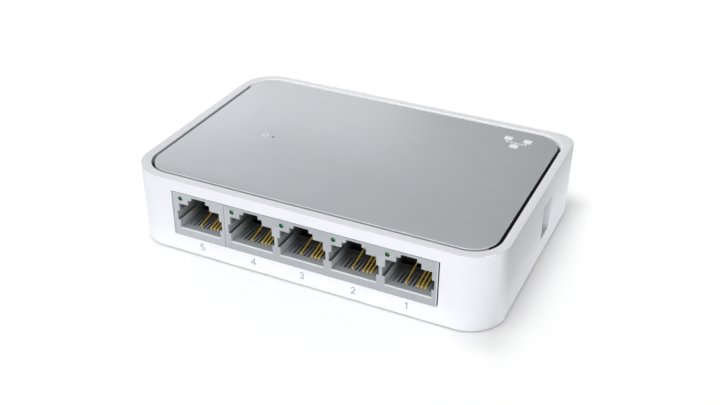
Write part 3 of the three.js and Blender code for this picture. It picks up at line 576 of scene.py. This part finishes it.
def add_chute(piece):
    """Adds the chute's walls inside the right-hand wall, then cuts its hollow. The floor stops short
    of the circuit board, and meets the far wall in a chamfer."""
    (near, far), (bottom, top), inner = chute_bounds()
    board_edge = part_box("circuit_board")[1].x + CLEARANCE
    outer = SIDE_X - WALL / 2
    near_side, far_side = near - CHUTE_WALL, far + CHUTE_WALL
    block = bmesh.new()
    add_box(block, (inner - CHUTE_BACK, near_side, bottom), (outer, far_side, top + CHUTE_WALL))
    add_box(block, (board_edge, near_side, bottom - CHUTE_WALL), (outer, far_side, bottom + CHUTE_WALL))
    combine(piece, block, "UNION")
    hollow = bmesh.new()
    c = CHUTE_CHAMFER
    section = [(near, bottom), (far - c, bottom), (far, bottom + c), (far, top), (near, top)]
    start = inner - CHUTE_BACK - OVERRUN
    add_prism(hollow, section, lambda a, b, end: (start + end * CHUTE_CUT, a, b))
    cut(piece, hollow)


def round_opening_edges(piece):
    """Rounds the edges of the window and of the chute where they meet the outer faces."""
    sides, levels, _ = chute_bounds()
    bm = bmesh.new()
    bm.from_mesh(piece.data)

    def on_opening(point):
        in_window = within(point.x, WINDOW_X) and within(point.z, WINDOW_Z)
        in_chute = within(point.y, sides) and within(point.z, levels)
        return (abs(point.y - FRONT_Y) < TOUCH and in_window) or (abs(point.x - SIDE_X) < TOUCH and in_chute)

    rim = [e for e in bm.edges if on_opening(e.verts[0].co) and on_opening(e.verts[1].co)
           and e.calc_face_angle(0) > 1]
    bmesh.ops.bevel(bm, geom=rim, offset=WINDOW_EDGE, segments=3, profile=0.5, affect="EDGES")
    bm.to_mesh(piece.data)
    bm.free()


def mark_creases(piece):
    """Keeps the upright creases between the front corners and the side walls sharp."""
    crease_y = FRONT_Y + CORNER_RADII[0] * (1 - math.sin(math.radians(CREASE)))
    vertices = piece.data.vertices
    for edge in piece.data.edges:
        a, b = (vertices[i].co for i in edge.vertices)
        upright = abs(a.x - b.x) < TOUCH and abs(a.y - b.y) < TOUCH
        if upright and abs(abs(a.x) - SIDE_X) < TOUCH and abs(a.y - crease_y) < NEAR:
            edge.use_edge_sharp = True


def in_pocket(point):
    """Whether a point is inside the inner edge of the rim."""
    reach = RIM_WIDTH - RIM_EDGE - POCKET_MARGIN
    return abs(point.x) < SIDE_X - reach and abs(point.y) < -FRONT_Y - reach


# In the tests of faces below, a normal is compared with the cosine of its angle to an axis

def on_shoulder(face):
    """The rounded outer edge of the rim."""
    slanted = 0.15 < face.normal.z < 0.97
    return slanted and face.center.z > TOP_Z - OUTER_EDGE and not in_pocket(face.center)


def on_pocket_edge(face):
    """The rounded inner edge of the rim."""
    slanted = 0.15 < face.normal.z < 0.97
    return slanted and face.center.z > TOP_Z - RIM_EDGE and in_pocket(face.center)


def on_pocket_floor(face):
    level = abs(face.normal.z) > 0.9
    return level and abs(face.center.z - PLATE_LOW.z) < NEAR and in_pocket(face.center)


def on_pocket_wall(face):
    """The back wall of the pocket, with its corners."""
    upright = abs(face.normal.z) < 0.5
    behind = face.center.y > -FRONT_Y - POCKET_RADIUS - RIM_WIDTH
    return upright and behind and face.center.z > PLATE_LOW.z and in_pocket(face.center)


def on_lower_front(face):
    """The lower half of the front wall, below the top of its glow."""
    in_front = face.normal.y < -0.3 and face.center.y < FRONT_Y + CORNER_RADII[0]
    return in_front and face.center.z < LOWER_FRONT_TOP


def on_right_wall(face):
    """The outside of the right-hand wall, with the rounded edges above and below it."""
    return face.normal.x > 0.35 and abs(face.normal.z) < 0.9 and face.center.x > SIDE_TONE_START


def paint_case(piece):
    """Gives parts of the shell their painted light and shade: glows, painted highlights and painted shade in
    the case's white.
    """
    sides, levels, _ = chute_bounds()

    def in_opening(point, margin):
        return within(point.y, sides, margin) and within(point.z, levels, margin)

    def in_chute(face):
        return in_opening(face.center, NEAR) and face.center.x > SIDE_X - CHUTE_SHOWN

    def on_chute_edge(face):
        margin = WINDOW_EDGE + NEAR
        at_side = SIDE_X - margin < face.center.x < SIDE_X - TOUCH
        return at_side and in_opening(face.center, margin) and 0.05 < face.normal.x < 0.99

    # The pocket floor gets the near black of the groove: painted shade
    paint_faces(piece, "groove_shade", on_pocket_floor)
    paint_faces(piece, "pocket_wall_glow", on_pocket_wall)
    paint_faces(piece, "case_front_glow_and_shade", on_lower_front)
    paint_faces(piece, "chute_wall_shade", lambda face: in_chute(face) and face.normal.y < -0.95)
    paint_faces(piece, "case_edge_highlight", on_chute_edge)
    paint_faces(piece, "chute_floor_shade", lambda face: in_chute(face) and face.normal.z > 0.95)
    paint_faces(piece, "case_edge_highlight", on_pocket_edge)
    paint_faces(piece, "case_shoulder_shade", lambda face: on_shoulder(face) and face.normal.y < -0.1)
    paint_faces(piece, "case_side_shade_and_glow", on_right_wall)


def make_case():
    """White shell: outer wall, rim, pocket for the plate, port window and inlet chute."""
    bottom = CASE_LOW.z
    pocket_floor = PLATE_LOW.z
    ceiling = pocket_floor - TOP_WALL
    inner = [(WALL, z) for z in (ceiling, WINDOW_Z[1], WINDOW_Z[0], bottom)]
    foot = [(FOOT_EDGE * (1 - math.sin(a)), bottom + FOOT_EDGE * (1 - math.cos(a))) for a in quarter_turn()]
    outer = [(0, WINDOW_Z[0]), (0, WINDOW_Z[1])]
    shoulder = [(OUTER_EDGE * (1 - math.cos(a)), TOP_Z - OUTER_EDGE * (1 - math.sin(a)))
                for a in quarter_turn()]
    lip = [(RIM_WIDTH - RIM_EDGE * (1 - math.sin(a)), TOP_Z - RIM_EDGE * (1 - math.cos(a)))
           for a in quarter_turn()]
    pocket = lip + [(RIM_WIDTH, pocket_floor)]
    bm = bmesh.new()
    rings = [case_ring(inset, z) for inset, z in inner + foot + outer + shoulder]
    grid = loft(bm, rings + [pocket_ring(inset, z) for inset, z in pocket])
    first_outer = len(inner) + len(foot)
    open_window(bm, grid, (first_outer, first_outer + 1), (2, 1))
    piece = finish_mesh("case_shell", bm)
    add_chute(piece)
    round_opening_edges(piece)
    piece.data.shade_smooth()
    piece.data.set_sharp_from_angle(angle=math.radians(SHARP))
    mark_creases(piece)
    dress(piece, "case", replaces=["upper_case"])
    paint_case(piece)


def make_plate():
    """Grey plate with a fine bevel round its edge and a pinhole for the power lamp."""
    inset = SIDE_X - PLATE_HIGH.x + PLATE_GAP_EXTRA
    rings = [(inset, PLATE_LOW.z)]
    rings += [(inset + PLATE_EDGE * (1 - math.cos(a)), PLATE_HIGH.z - PLATE_EDGE * (1 - math.sin(a)))
              for a in quarter_turn()]
    bm = bmesh.new()
    loft(bm, [pocket_ring(i, z, (), PLATE_FORWARD) for i, z in rings])
    piece = finish_mesh("plate", bm, smooth_angle=SHARP)
    lamp = middle(*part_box("power_light_pipe"))
    hole = bmesh.new()
    lamp_hole = circle(LAMP_HOLE, HOLE_SIDES, (lamp.x, lamp.y))
    start = PLATE_LOW.z - OVERRUN
    add_prism(hole, lamp_hole, lambda a, b, end: (a, b, start + end * LAMP_HOLE_CUT))
    cut(piece, hole)
    piece.data.set_sharp_from_angle(angle=math.radians(SHARP))
    dress(piece, "plate", replaces=["top_plate"])

    def on_side(face):
        return abs(face.normal.z) < 0.2

    def on_right_side(face):
        return on_side(face) and face.normal.x > 0.4 and face.normal.y > -0.6

    # The plate's sides get a lighter grey as painted light, the right-hand side near black as painted shade,
    # and the bevel a painted highlight
    paint_faces(piece, "plate_side_lit", on_side)
    paint_faces(piece, "groove_shade", on_right_side)
    paint_faces(piece, "plate_edge_highlight", lambda face: 0.2 <= abs(face.normal.z) < 0.97)


# ---- jack housings ----

CAVITY_DEPTH = 13.2 * MM
FLOOR_LENGTH = 10.3 * MM
SILL_LENGTH = 0.25 * MM
SILL_HEIGHT = 0.1 * MM
MOUTH_HALF_WIDTH = 6.1 * MM
GROOVE_HALF_WIDTH = 6.8 * MM
LATCH_HALF_WIDTH = 3.3 * MM
NOTCH_HALF_WIDTH = 2.15 * MM
FLOOR_RISE = 2.25 * MM
GROOVE_BOTTOM_RISE = 4.65 * MM
GROOVE_TOP_RISE = 7.35 * MM
MOUTH_TOP_RISE = 9.7 * MM
LATCH_TOP_RISE = 11.25 * MM
NOTCH_TOP_RISE = 12.25 * MM
LIP = 0.3 * MM
SEAM_GAP = 0.1 * MM
SLOT_WIDTH = 0.35 * MM
SLOT_DEPTH = 1.4 * MM
SLOT_SETBACK = 2.3 * MM
SLOT_BEND = 3.9 * MM
SLOT_END = 7.2 * MM
END_LINE = 4.75 * MM
END_LINE_WIDTH = 0.14 * MM
END_LINE_LENGTH = 6.9 * MM
LAMP_BORE = 0.62 * MM
LAMP_BORE_CUT = 3.5 * MM
END_CHAMFER = 0.22 * MM
JACK_EDGE = 0.07 * MM
SEAM_X = middle(SINGLE_HIGH.x, QUAD_LOW.x)
SEAM_REACH = 1 * MM
# How far the cutters of the lip and the sills reach past the mouth's sides, and the sills and the
# end lines past the floor
LIP_MARGIN = 0.12 * MM
SILL_MARGIN = 0.1 * MM
SILL_ROOT = 0.5 * MM
LINE_DEPTH = 0.15 * MM
LINE_HEIGHT = 0.5 * MM


def mouth_outline(x):
    """Section of a port's mouth in the XZ plane, with its side grooves and stepped latch notch."""
    base = QUAD_LOW.z
    half = [
        (MOUTH_HALF_WIDTH, FLOOR_RISE),
        (MOUTH_HALF_WIDTH, GROOVE_BOTTOM_RISE),
        (GROOVE_HALF_WIDTH, GROOVE_BOTTOM_RISE),
        (GROOVE_HALF_WIDTH, GROOVE_TOP_RISE),
        (MOUTH_HALF_WIDTH, GROOVE_TOP_RISE),
        (MOUTH_HALF_WIDTH, MOUTH_TOP_RISE),
        (LATCH_HALF_WIDTH, MOUTH_TOP_RISE),
        (LATCH_HALF_WIDTH, LATCH_TOP_RISE),
        (NOTCH_HALF_WIDTH, LATCH_TOP_RISE),
        (NOTCH_HALF_WIDTH, NOTCH_TOP_RISE),
    ]
    right = [(x + across, base + rise) for across, rise in half]
    left = [(x - across, base + rise) for across, rise in reversed(half)]
    return right + left


def add_slot(bm, x, front, floor):
    """Slot for a wire's bend: deep in front, and running out towards the back."""
    section = [
        (front + SLOT_SETBACK, floor - SLOT_DEPTH),
        (front + SLOT_BEND, floor - SLOT_DEPTH),
        (front + SLOT_END, floor),
        (front + SLOT_END, floor + LINE_HEIGHT),
        (front + SLOT_SETBACK, floor + LINE_HEIGHT),
    ]
    add_prism(bm, section, lambda a, b, end: (x - SLOT_WIDTH / 2 + end * SLOT_WIDTH, a, b))


def jack_box(name):
    """Box of a jack housing, which stands a little apart from the other at the seam."""
    low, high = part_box(name)
    if low.x > SEAM_X:
        low.x = SEAM_X + SEAM_GAP / 2
    else:
        high.x = SEAM_X - SEAM_GAP / 2
    return low, high


def cut_mouths(piece, ports, front, floor):
    """Cuts the mouths, with a slanted lip along the front edge of each floor."""
    hollows = bmesh.new()
    lips = bmesh.new()
    wedge = [(front - OVERRUN, floor - LIP - OVERRUN), (front + LIP, floor), (front + LIP, floor + OVERRUN),
             (front - OVERRUN, floor + OVERRUN)]
    start, length = front - OVERRUN, CAVITY_DEPTH + OVERRUN
    reach = MOUTH_HALF_WIDTH + LIP_MARGIN
    for port in ports:
        x = port_x(port)
        add_prism(hollows, mouth_outline(x), lambda a, b, end: (a, start + end * length, b))
        add_prism(lips, wedge, lambda a, b, end: (x - reach + end * 2 * reach, a, b))
    cut(piece, hollows)
    cut(piece, lips)


def add_sills(piece, ports, front, floor):
    """Adds a low sill across the back end of each floor."""
    sills = bmesh.new()
    floor_end = front + FLOOR_LENGTH
    reach = MOUTH_HALF_WIDTH + SILL_MARGIN
    for port in ports:
        x = port_x(port)
        add_box(sills, (x - reach, floor_end - SILL_LENGTH, floor - SILL_ROOT),
                (x + reach, floor_end, floor + SILL_HEIGHT))
    combine(piece, sills, "UNION")


def cut_end_chamfer(piece, low, high):
    """Cuts a fine chamfer down the right-hand edge of the port face."""
    chamfer = bmesh.new()
    start, length = low.z - OVERRUN, high.z - low.z + 2 * OVERRUN
    wedge = [(high.x - END_CHAMFER - OVERRUN, low.y - OVERRUN), (high.x + OVERRUN, low.y - OVERRUN),
             (high.x + OVERRUN, low.y + END_CHAMFER + OVERRUN)]
    add_prism(chamfer, wedge, lambda a, b, end: (a, b, start + end * length))
    cut(piece, chamfer)


def cut_slots(piece, ports, front, floor):
    """Cuts the well behind each floor, the slots of the wires, a fine line at each end of their row,
    and the bore of the link lamp."""
    slots = bmesh.new()
    line_start = front + SLOT_SETBACK
    for port in ports:
        x = port_x(port)
        add_box(slots, (x - MOUTH_HALF_WIDTH, front + FLOOR_LENGTH, floor - SLOT_DEPTH),
                (x + MOUTH_HALF_WIDTH, front + CAVITY_DEPTH, floor + SILL_HEIGHT))
        for side in (-1, 1):
            line = x + side * END_LINE
            add_box(slots, (line - END_LINE_WIDTH / 2, line_start, floor - LINE_DEPTH),
                    (line + END_LINE_WIDTH / 2, line_start + END_LINE_LENGTH, floor + LINE_HEIGHT))
        for pin in range(1, PIN_SLOTS + 1):
            add_slot(slots, x + pin_offset(pin), front, floor)
        lamp = middle(*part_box(f"link_lamp_{port}"))
        bore = circle(LAMP_BORE, HOLE_SIDES, (lamp.x, lamp.z))
        add_prism(slots, bore, lambda a, b, end: (a, front - OVERRUN + end * LAMP_BORE_CUT, b))
    cut(piece, slots)


def paint_jack(piece, ports, low, high):
    """Gives the sides, the lips and the inside of the mouths painted light and shade in the housing's grey.
    """
    floor = low.z + FLOOR_RISE
    ledge_z = low.z + GROOVE_BOTTOM_RISE
    groove_top = low.z + GROOVE_TOP_RISE
    floor_back = low.y + FLOOR_LENGTH + SILL_MARGIN

    def on_outer_side(face):
        x, _, z = face.center
        at_side = min(abs(x - low.x), abs(x - high.x)) < NEAR and abs(x - SEAM_X) > SEAM_REACH
        return at_side or min(abs(z - low.z), abs(z - high.z)) < NEAR

    def on_lip(face):
        at_end = face.normal.x > 0.5 and face.center.x > high.x - 2 * END_CHAMFER
        return (face.normal.z > 0.5 or at_end) and face.normal.y < -0.5

    def in_bore(face):
        lamps = [middle(*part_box(f"link_lamp_{port}")).x for port in ports]
        beside = any(abs(face.center.x - lamp) < LAMP_BORE + 2 * NEAR for lamp in lamps)
        return beside and face.center.z > low.z + MOUTH_TOP_RISE and abs(face.normal.y) < 0.9

    def in_mouth(face):
        x, y, z = face.center
        between = any(abs(x - port_x(port)) < GROOVE_HALF_WIDTH + NEAR for port in ports)
        inside = low.y < y <= low.y + CAVITY_DEPTH + NEAR and low.z < z < high.z
        return between and inside and not on_outer_side(face) and not on_lip(face)

    def on_left(face, above):
        return in_mouth(face) and face.normal.x > 0.9 and face.center.z > above

    def on_ledge(face):
        return in_mouth(face) and face.normal.z > 0.9 and abs(face.center.z - ledge_z) < NEAR

    def in_shade(face):
        behind = face.center.z < floor - 2 * NEAR or face.center.y > floor_back
        return in_mouth(face) and (behind or face.normal.z < -0.9)

    paint_faces(piece, "cavity", in_mouth)
    paint_faces(piece, "cavity_left", lambda face: on_left(face, floor))
    paint_faces(piece, "cavity_groove", lambda face: on_left(face, ledge_z))
    paint_faces(piece, "cavity_upper", lambda face: on_left(face, groove_top))
    paint_faces(piece, "cavity_ledge_shadow", on_ledge)
    paint_faces(piece, "cavity_shadow", in_shade)
    paint_faces(piece, "jack_side_shade", lambda face: on_outer_side(face) or in_bore(face))
    paint_faces(piece, "jack_lip_highlight", on_lip)


def make_jack(name, ports):
    """Jack housing: a block with a mouth, wire slots and a lamp bore for each of its ports."""
    low, high = jack_box(name)
    floor = low.z + FLOOR_RISE
    bm = bmesh.new()
    add_box(bm, low, high)
    piece = finish_mesh(name + "_shell", bm)
    cut_mouths(piece, ports, low.y, floor)
    add_sills(piece, ports, low.y, floor)
    if low.x > SEAM_X:
        cut_end_chamfer(piece, low, high)
    cut_slots(piece, ports, low.y, floor)
    dress(piece, "jack", replaces=[name])
    paint_jack(piece, ports, low, high)
    soften_edges(piece, JACK_EDGE)


# ---- contact wires ----

WIRE_RADIUS = 0.175 * MM
WIRE_BEND_RADIUS = 0.45 * MM
WIRE_STUB = 1.4 * MM
WIRE_SIDES = 12
WIRE_SHARP = 60
WIRE_BEND_STEPS = 10
WIRE_ARM_STEPS = 6
ARM_SLOPE = math.radians(12.5)
# Rings of a wire's domed end: how far past the end, and how wide, in shares of the radius
WIRE_DOME = ((0.5, 0.45), (0.25, 0.85))


def sweep(bm, path, radius, across):
    """Adds a round bar along a path in a plane whose normal is across, with domed ends."""
    last = len(path) - 1
    tangents = [(path[min(i + 1, last)] - path[max(i - 1, 0)]).normalized() for i in range(last + 1)]
    stations = [(path[0] - tangents[0] * radius * past, share, tangents[0]) for past, share in WIRE_DOME]
    stations += [(point, 1.0, tangent) for point, tangent in zip(path, tangents)]
    stations += [(path[-1] + tangents[-1] * radius * past, share, tangents[-1])
                 for past, share in reversed(WIRE_DOME)]
    section = circle(1, WIRE_SIDES)
    rings = []
    for point, share, tangent in stations:
        up = across.cross(tangent)
        rings.append([point + (across * a + up * b) * radius * share for a, b in section])
    loft(bm, rings)


def make_wire(port, pin):
    """Gold contact wire: a stub in its slot, a tight front bend and a long arm that rises backwards."""
    node = f"contact_wire_{port}_{pin}"
    low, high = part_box(node)
    half = (high.x - low.x) / 2
    root = Vector((middle(low, high).x, low.y + WIRE_BEND_RADIUS + half, low.z + WIRE_BEND_RADIUS + half))
    path = [root + Vector((0, WIRE_STUB, -WIRE_BEND_RADIUS))]
    for i in range(WIRE_BEND_STEPS + 1):
        angle = (math.pi - ARM_SLOPE) * i / WIRE_BEND_STEPS
        path.append(root + Vector((0, -math.sin(angle), -math.cos(angle))) * WIRE_BEND_RADIUS)
    start = path[-1]
    along = Vector((0, math.cos(ARM_SLOPE), math.sin(ARM_SLOPE)))
    length = (high.y - start.y - half) / math.cos(ARM_SLOPE)
    path.extend(start + along * length * i / WIRE_ARM_STEPS for i in range(1, WIRE_ARM_STEPS + 1))
    bm = bmesh.new()
    sweep(bm, path, WIRE_RADIUS, Vector((1, 0, 0)))
    piece = finish_mesh(f"wire_{port}_{pin}", bm, smooth_angle=WIRE_SHARP)
    dress(piece, "gold", body=f"port_{port}_contacts", replaces=[node])


# ---- lamps ----

LENS_RADIUS = 0.58 * MM
LENS_SIDES = 20
LENS_SHARP = 50
# How far the dome's tip is in front of the CAD lamp
LENS_FORWARD = 0.12 * MM
# Share of the radius, and depth behind the dome's tip in mm
LENS_PROFILE = ((0.15, 0.02), (0.45, 0.06), (0.75, 0.14), (0.93, 0.27), (1.0, 0.42), (1.0, 3.2))


def make_link_lamp(port):
    """Green lens with a domed end, set back in its bore."""
    node = f"link_lamp_{port}"
    low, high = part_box(node)
    centre = middle(low, high)
    rings = []
    for share, depth in LENS_PROFILE:
        y = low.y - LENS_FORWARD + depth * MM
        rings.append([(a, y, b) for a, b in circle(LENS_RADIUS * share, LENS_SIDES, (centre.x, centre.z))])
    bm = bmesh.new()
    loft(bm, rings)
    piece = finish_mesh(f"lens_{port}", bm, smooth_angle=LENS_SHARP)
    dress(piece, "green_lens", replaces=[node])


# ---- prints: thin raised ink ----

INK = 0.012 * MM
INK_SINK = 0.002 * MM
NUMBER_Z = 3.3 * MM
NUMBER_SIZE = 0.97 * MM
NUMBER_WIDTH = 0.24
# The numbers of ports 4 and 5 stand a little to the right of their ports
LAST_CENTRED_NUMBER = 3
NUMBER_SHIFT = 0.3 * MM
POWER_SIGN_OFFSET = Vector((-2.53 * MM, 0.07 * MM, 0))
POWER_SIGN_SIZE = 0.95 * MM
POWER_SIGN_WIDTH = 0.2
NETWORK_SIGN_CENTRE = Vector((37 * MM, 23.9 * MM, 0))
NETWORK_SIGN_SIZE = 1.2 * MM
NETWORK_SIGN_WIDTH = 0.36
BOX_HALF = 0.95
# Corners of a stroke reach no further than its width allows at this cosine
LEAST_MITRE = 0.35


def stroke_outline(points, width):
    """Outline of a line of even width through points, with mitred joints."""
    places = [Vector(point) for point in points]
    left, right = [], []
    for i, here in enumerate(places):
        pairs = list(zip(places, places[1:]))[max(i - 1, 0):i + 1]
        directions = [(after - before).normalized() for before, after in pairs]
        normals = [Vector((-d.y, d.x)) for d in directions]
        mitre = sum(normals, Vector((0, 0))).normalized()
        reach = width / 2 / max(LEAST_MITRE, mitre.dot(normals[0]))
        left.append(here + mitre * reach)
        right.append(here - mitre * reach)
    return left + right[::-1]


def digit_strokes(digit):
    """Lines of a digit in a box 1.1 wide and 2 high, centred on the origin."""
    if digit == 1:
        return [[(-0.38, 0.62), (0.02, 1.0), (0.06, 1.0), (0.06, -1.0)]]
    if digit == 2:
        return [arc((0, 0.45), 0.5, 170, -35) + [(-0.52, -0.93), (0.56, -0.93)]]
    if digit == 3:
        return [arc((0, 0.5), 0.45, 160, -80), arc((0, -0.45), 0.52, 80, -160)]
    if digit == 4:
        return [[(0.3, -1.0), (0.3, 0.93), (-0.62, -0.42), (0.2, -0.42)], [(0.4, -0.42), (0.68, -0.42)]]
    return [[(0.48, 0.93), (-0.4, 0.93), (-0.48, 0.08)] + arc((0, -0.4), 0.56, 125, -155)]


def make_print(name, strokes, width, place, material, filled=()):
    """Thin ink made of strokes and filled outlines. place(a, b, height) gives each point."""
    bm = bmesh.new()
    for outline in [stroke_outline(line, width) for line in strokes] + list(filled):
        add_prism(bm, outline, lambda a, b, end: place(a, b, end * INK))
    piece = finish_mesh(name, bm)
    dress(piece, material)


def on_plate(centre, size):
    """Places a print on the plate, upright as seen from the back."""
    return lambda a, b, height: (centre.x - a * size, centre.y - b * size, PLATE_HIGH.z + height - INK_SINK)


def make_port_number(port):
    """Number of a port, printed below it."""
    x = port_x(port) + (NUMBER_SHIFT if port > LAST_CENTRED_NUMBER else 0)

    def place(a, b, height):
        return (x + a * NUMBER_SIZE, FRONT_Y - height + INK_SINK, NUMBER_Z + b * NUMBER_SIZE)

    make_print(f"port_number_{port}", digit_strokes(port), NUMBER_WIDTH, place, "label_grey")


def make_power_sign():
    """Power sign beside the power lamp: an open ring and a stroke."""
    place = on_plate(middle(*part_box("power_light_pipe")) + POWER_SIGN_OFFSET, POWER_SIGN_SIZE)
    lines = [arc((0, 0), 0.86, 120, 420, 28), [(0, 0.98), (0, 0.1)]]
    make_print("power_icon", lines, POWER_SIGN_WIDTH, place, "label_white")


def make_network_sign():
    """Generic wired-network sign: one box above two boxes, joined by lines."""
    def square(x, y):
        return [(x + a * BOX_HALF, y + b * BOX_HALF) for a, b in ((-1, -1), (1, -1), (1, 1), (-1, 1))]

    place = on_plate(NETWORK_SIGN_CENTRE, NETWORK_SIGN_SIZE)
    lines = [[(0, 0.8), (0, 0.3)], [(-2.3, -0.6), (-2.3, 0.15), (2.3, 0.15), (2.3, -0.6)]]
    boxes = [square(0, 1.8), square(-2.3, -1.6), square(2.3, -1.6)]
    make_print("network_icon", lines, NETWORK_SIGN_WIDTH, place, "label_white", filled=boxes)


# ---- carried-over CAD nodes ----

# Faces that turn by less than this are joined, in degrees
FLAT = 1
# Material, size of the soft edges where there are any, and the nodes that have them
NODE_LOOKS = [
    ("board", None, ["circuit_board"]),
    ("steel", None, ["board_screw_1", "board_screw_2"]),
    ("chip", None, ["switch_chip", "port_transformer_1_2", "port_transformer_3_4", "port_transformer_5",
                    "voltage_regulator", "power_inductor"]),
    ("sleeve", None, ["smoothing_capacitor_1", "smoothing_capacitor_2"]),
    ("clear_lens", None, ["power_led", "power_light_pipe"]),
    ("nickel", 0.3 * MM, ["clock_crystal"]),
    ("nickel", 0.1 * MM, ["inlet_pin"]),
    ("nickel", 0.08 * MM, ["inlet_leaf_contact"]),
    ("cover", 0.15 * MM, ["base_cover"]),
    ("inlet", 0.15 * MM, ["inlet_housing"]),
    ("rubber", 0.2 * MM, [f"rubber_foot_{i}" for i in (1, 2, 3, 4)]),
]


def dress_node(name, material, edge):
    """Gives a CAD node its material, and soft edges where it has an edge size."""
    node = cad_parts[name]
    node.data.materials.clear()
    node.data.materials.append(MATERIALS[material])
    if edge:
        flat = node.modifiers.new("flat_faces", "DECIMATE")
        flat.decimate_type = "DISSOLVE"
        flat.angle_limit = math.radians(FLAT)
        soften_edges(node, edge)


# ---- stage, lights, camera ----

# The floor's own glow at each distance from the case, in mm: weaker near the case as a painted contact shadow
FLOOR_GLOW = [(0, 0.07), (1, 0.085), (2, 0.12), (4, 0.19), (7, 0.25), (11, 0.263), (16, 0.266), (40, 0.26),
              (100, 0.26)]
FLOOR_HALF = 1.5
FLOOR_Z = -0.1 * MM


def distance_from_case(tree):
    """Distance of a point of the floor from the case's outline, taken as a plain rectangle. The 1
    is more than any height, so that height counts for nothing."""
    place = tree.nodes.new("ShaderNodeTexCoord").outputs["Object"]
    steps = (("ABSOLUTE", (0, 0, 0)), ("SUBTRACT", (SIDE_X, -FRONT_Y, 1)), ("MAXIMUM", (0, 0, 0)))
    for operation, operand in steps:
        step = tree.nodes.new("ShaderNodeVectorMath")
        step.operation = operation
        step.inputs[1].default_value = operand
        tree.links.new(place, step.inputs[0])
        place = step.outputs["Vector"]
    length = tree.nodes.new("ShaderNodeVectorMath")
    length.operation = "LENGTH"
    tree.links.new(place, length.inputs[0])
    return length.outputs["Value"]


def make_floor():
    """Wide white floor, a little darker close to the case: a painted contact shadow."""
    bm = bmesh.new()
    corners = ((-1, -1), (1, -1), (1, 1), (-1, 1))
    bm.faces.new([bm.verts.new((x * FLOOR_HALF, y * FLOOR_HALF, FLOOR_Z)) for x, y in corners])
    piece = finish_mesh("floor", bm)
    material = principled("floor_white", (0.95, 0.95, 0.95), 0.9)
    tree = material.node_tree
    tree.nodes["Principled BSDF"].inputs["Specular IOR Level"].default_value = 0
    light_up(tree, (1, 1, 1), tone_ramp(tree, distance_from_case(tree), 0, FLOOR_GLOW))
    piece.data.materials.append(material)


SKY_STRENGTH = 0.1
LIGHT_AIM = Vector((0, 0, 10 * MM))
SUN_DISTANCE = 1
SOFTBOX_DISTANCE = 0.4
SOFTBOX_SIZE = (0.3, 0.2)


def outwards(azimuth, elevation):
    """Direction away from the case, from angles in degrees. Azimuth runs from the port side
    towards +X."""
    a, e = math.radians(azimuth), math.radians(elevation)
    return Vector((math.sin(a) * math.cos(e), -math.cos(a) * math.cos(e), math.sin(e)))


def light_at(name, kind, direction, distance):
    """A light that looks at LIGHT_AIM from a direction."""
    data = bpy.data.lights.new(name, kind)
    light = new_object(name, data)
    light.location = LIGHT_AIM + direction * distance
    light.rotation_mode = "QUATERNION"
    light.rotation_quaternion = (-direction).to_track_quat("-Z", "Y")
    return data


def far_light(name, azimuth, elevation, strength, spread):
    """Soft light from far away; spread is its apparent width in degrees."""
    data = light_at(name, "SUN", outwards(azimuth, elevation), SUN_DISTANCE)
    data.energy = strength
    data.angle = math.radians(spread)


def softbox(name, azimuth, elevation, power):
    """Low softbox close to the object, for the sheen on the plate."""
    data = light_at(name, "AREA", outwards(azimuth, elevation), SOFTBOX_DISTANCE)
    data.shape = "RECTANGLE"
    data.size, data.size_y = SOFTBOX_SIZE
    data.energy = power


def make_lights():
    """White surroundings and the lamps of the studio."""
    world = bpy.data.worlds.new("studio")
    world.use_nodes = True
    background = world.node_tree.nodes["Background"]
    background.inputs["Color"].default_value = (1, 1, 1, 1)
    background.inputs["Strength"].default_value = SKY_STRENGTH
    bpy.context.scene.world = world
    far_light("front_low", 10, 12, 1.35, 40)
    far_light("front_high", -15, 70, 1.086, 40)
    far_light("left_high", -60, 60, 0.37, 40)
    far_light("back_left", -150, 50, 0.584, 60)
    softbox("sheen_left", -120, 15, 0.124)
    softbox("sheen_middle", -140, 15, 0.137)
    softbox("sheen_right", -160, 15, 0.1)


CAMERA_AIM = Vector((0, 0, 11 * MM))
CAMERA_AZIMUTH = 25.03
CAMERA_ELEVATION = 31.31
CAMERA_ROLL = math.radians(0.505)
CAMERA_DISTANCE = 272.9 * MM
CAMERA_SHIFT = (0.344 * MM, -4.415 * MM)
CAMERA_LENS = 48.96
SENSOR_WIDTH = 36


def make_camera():
    """Camera of the photo, aimed a little beside CAMERA_AIM."""
    back = outwards(CAMERA_AZIMUTH, CAMERA_ELEVATION)
    level = Vector((-back.y, back.x, 0)).normalized()
    right = Matrix.Rotation(CAMERA_ROLL, 3, back) @ level
    up = back.cross(right)
    data = bpy.data.cameras.new("camera")
    data.lens = CAMERA_LENS
    data.sensor_width = SENSOR_WIDTH
    data.clip_start = 10 * MM
    camera = new_object("camera", data)
    camera.location = CAMERA_AIM + right * CAMERA_SHIFT[0] + up * CAMERA_SHIFT[1] + back * CAMERA_DISTANCE
    camera.rotation_mode = "QUATERNION"
    camera.rotation_quaternion = Matrix((right, up, back)).transposed().to_quaternion()
    bpy.context.scene.camera = camera


make_camera()
make_case()
make_plate()
for jack, jack_ports in JACKS.items():
    make_jack(jack, jack_ports)
for port_number in PORTS:
    for pin_number in PINS:
        make_wire(port_number, pin_number)
    make_link_lamp(port_number)
    make_port_number(port_number)
make_power_sign()
make_network_sign()
for node_material, node_edge, node_names in NODE_LOOKS:
    for node_name in node_names:
        dress_node(node_name, node_material, node_edge)
make_floor()
make_lights()
bpy.context.scene.view_settings.view_transform = "Standard"

bpy.context.view_layer.update()
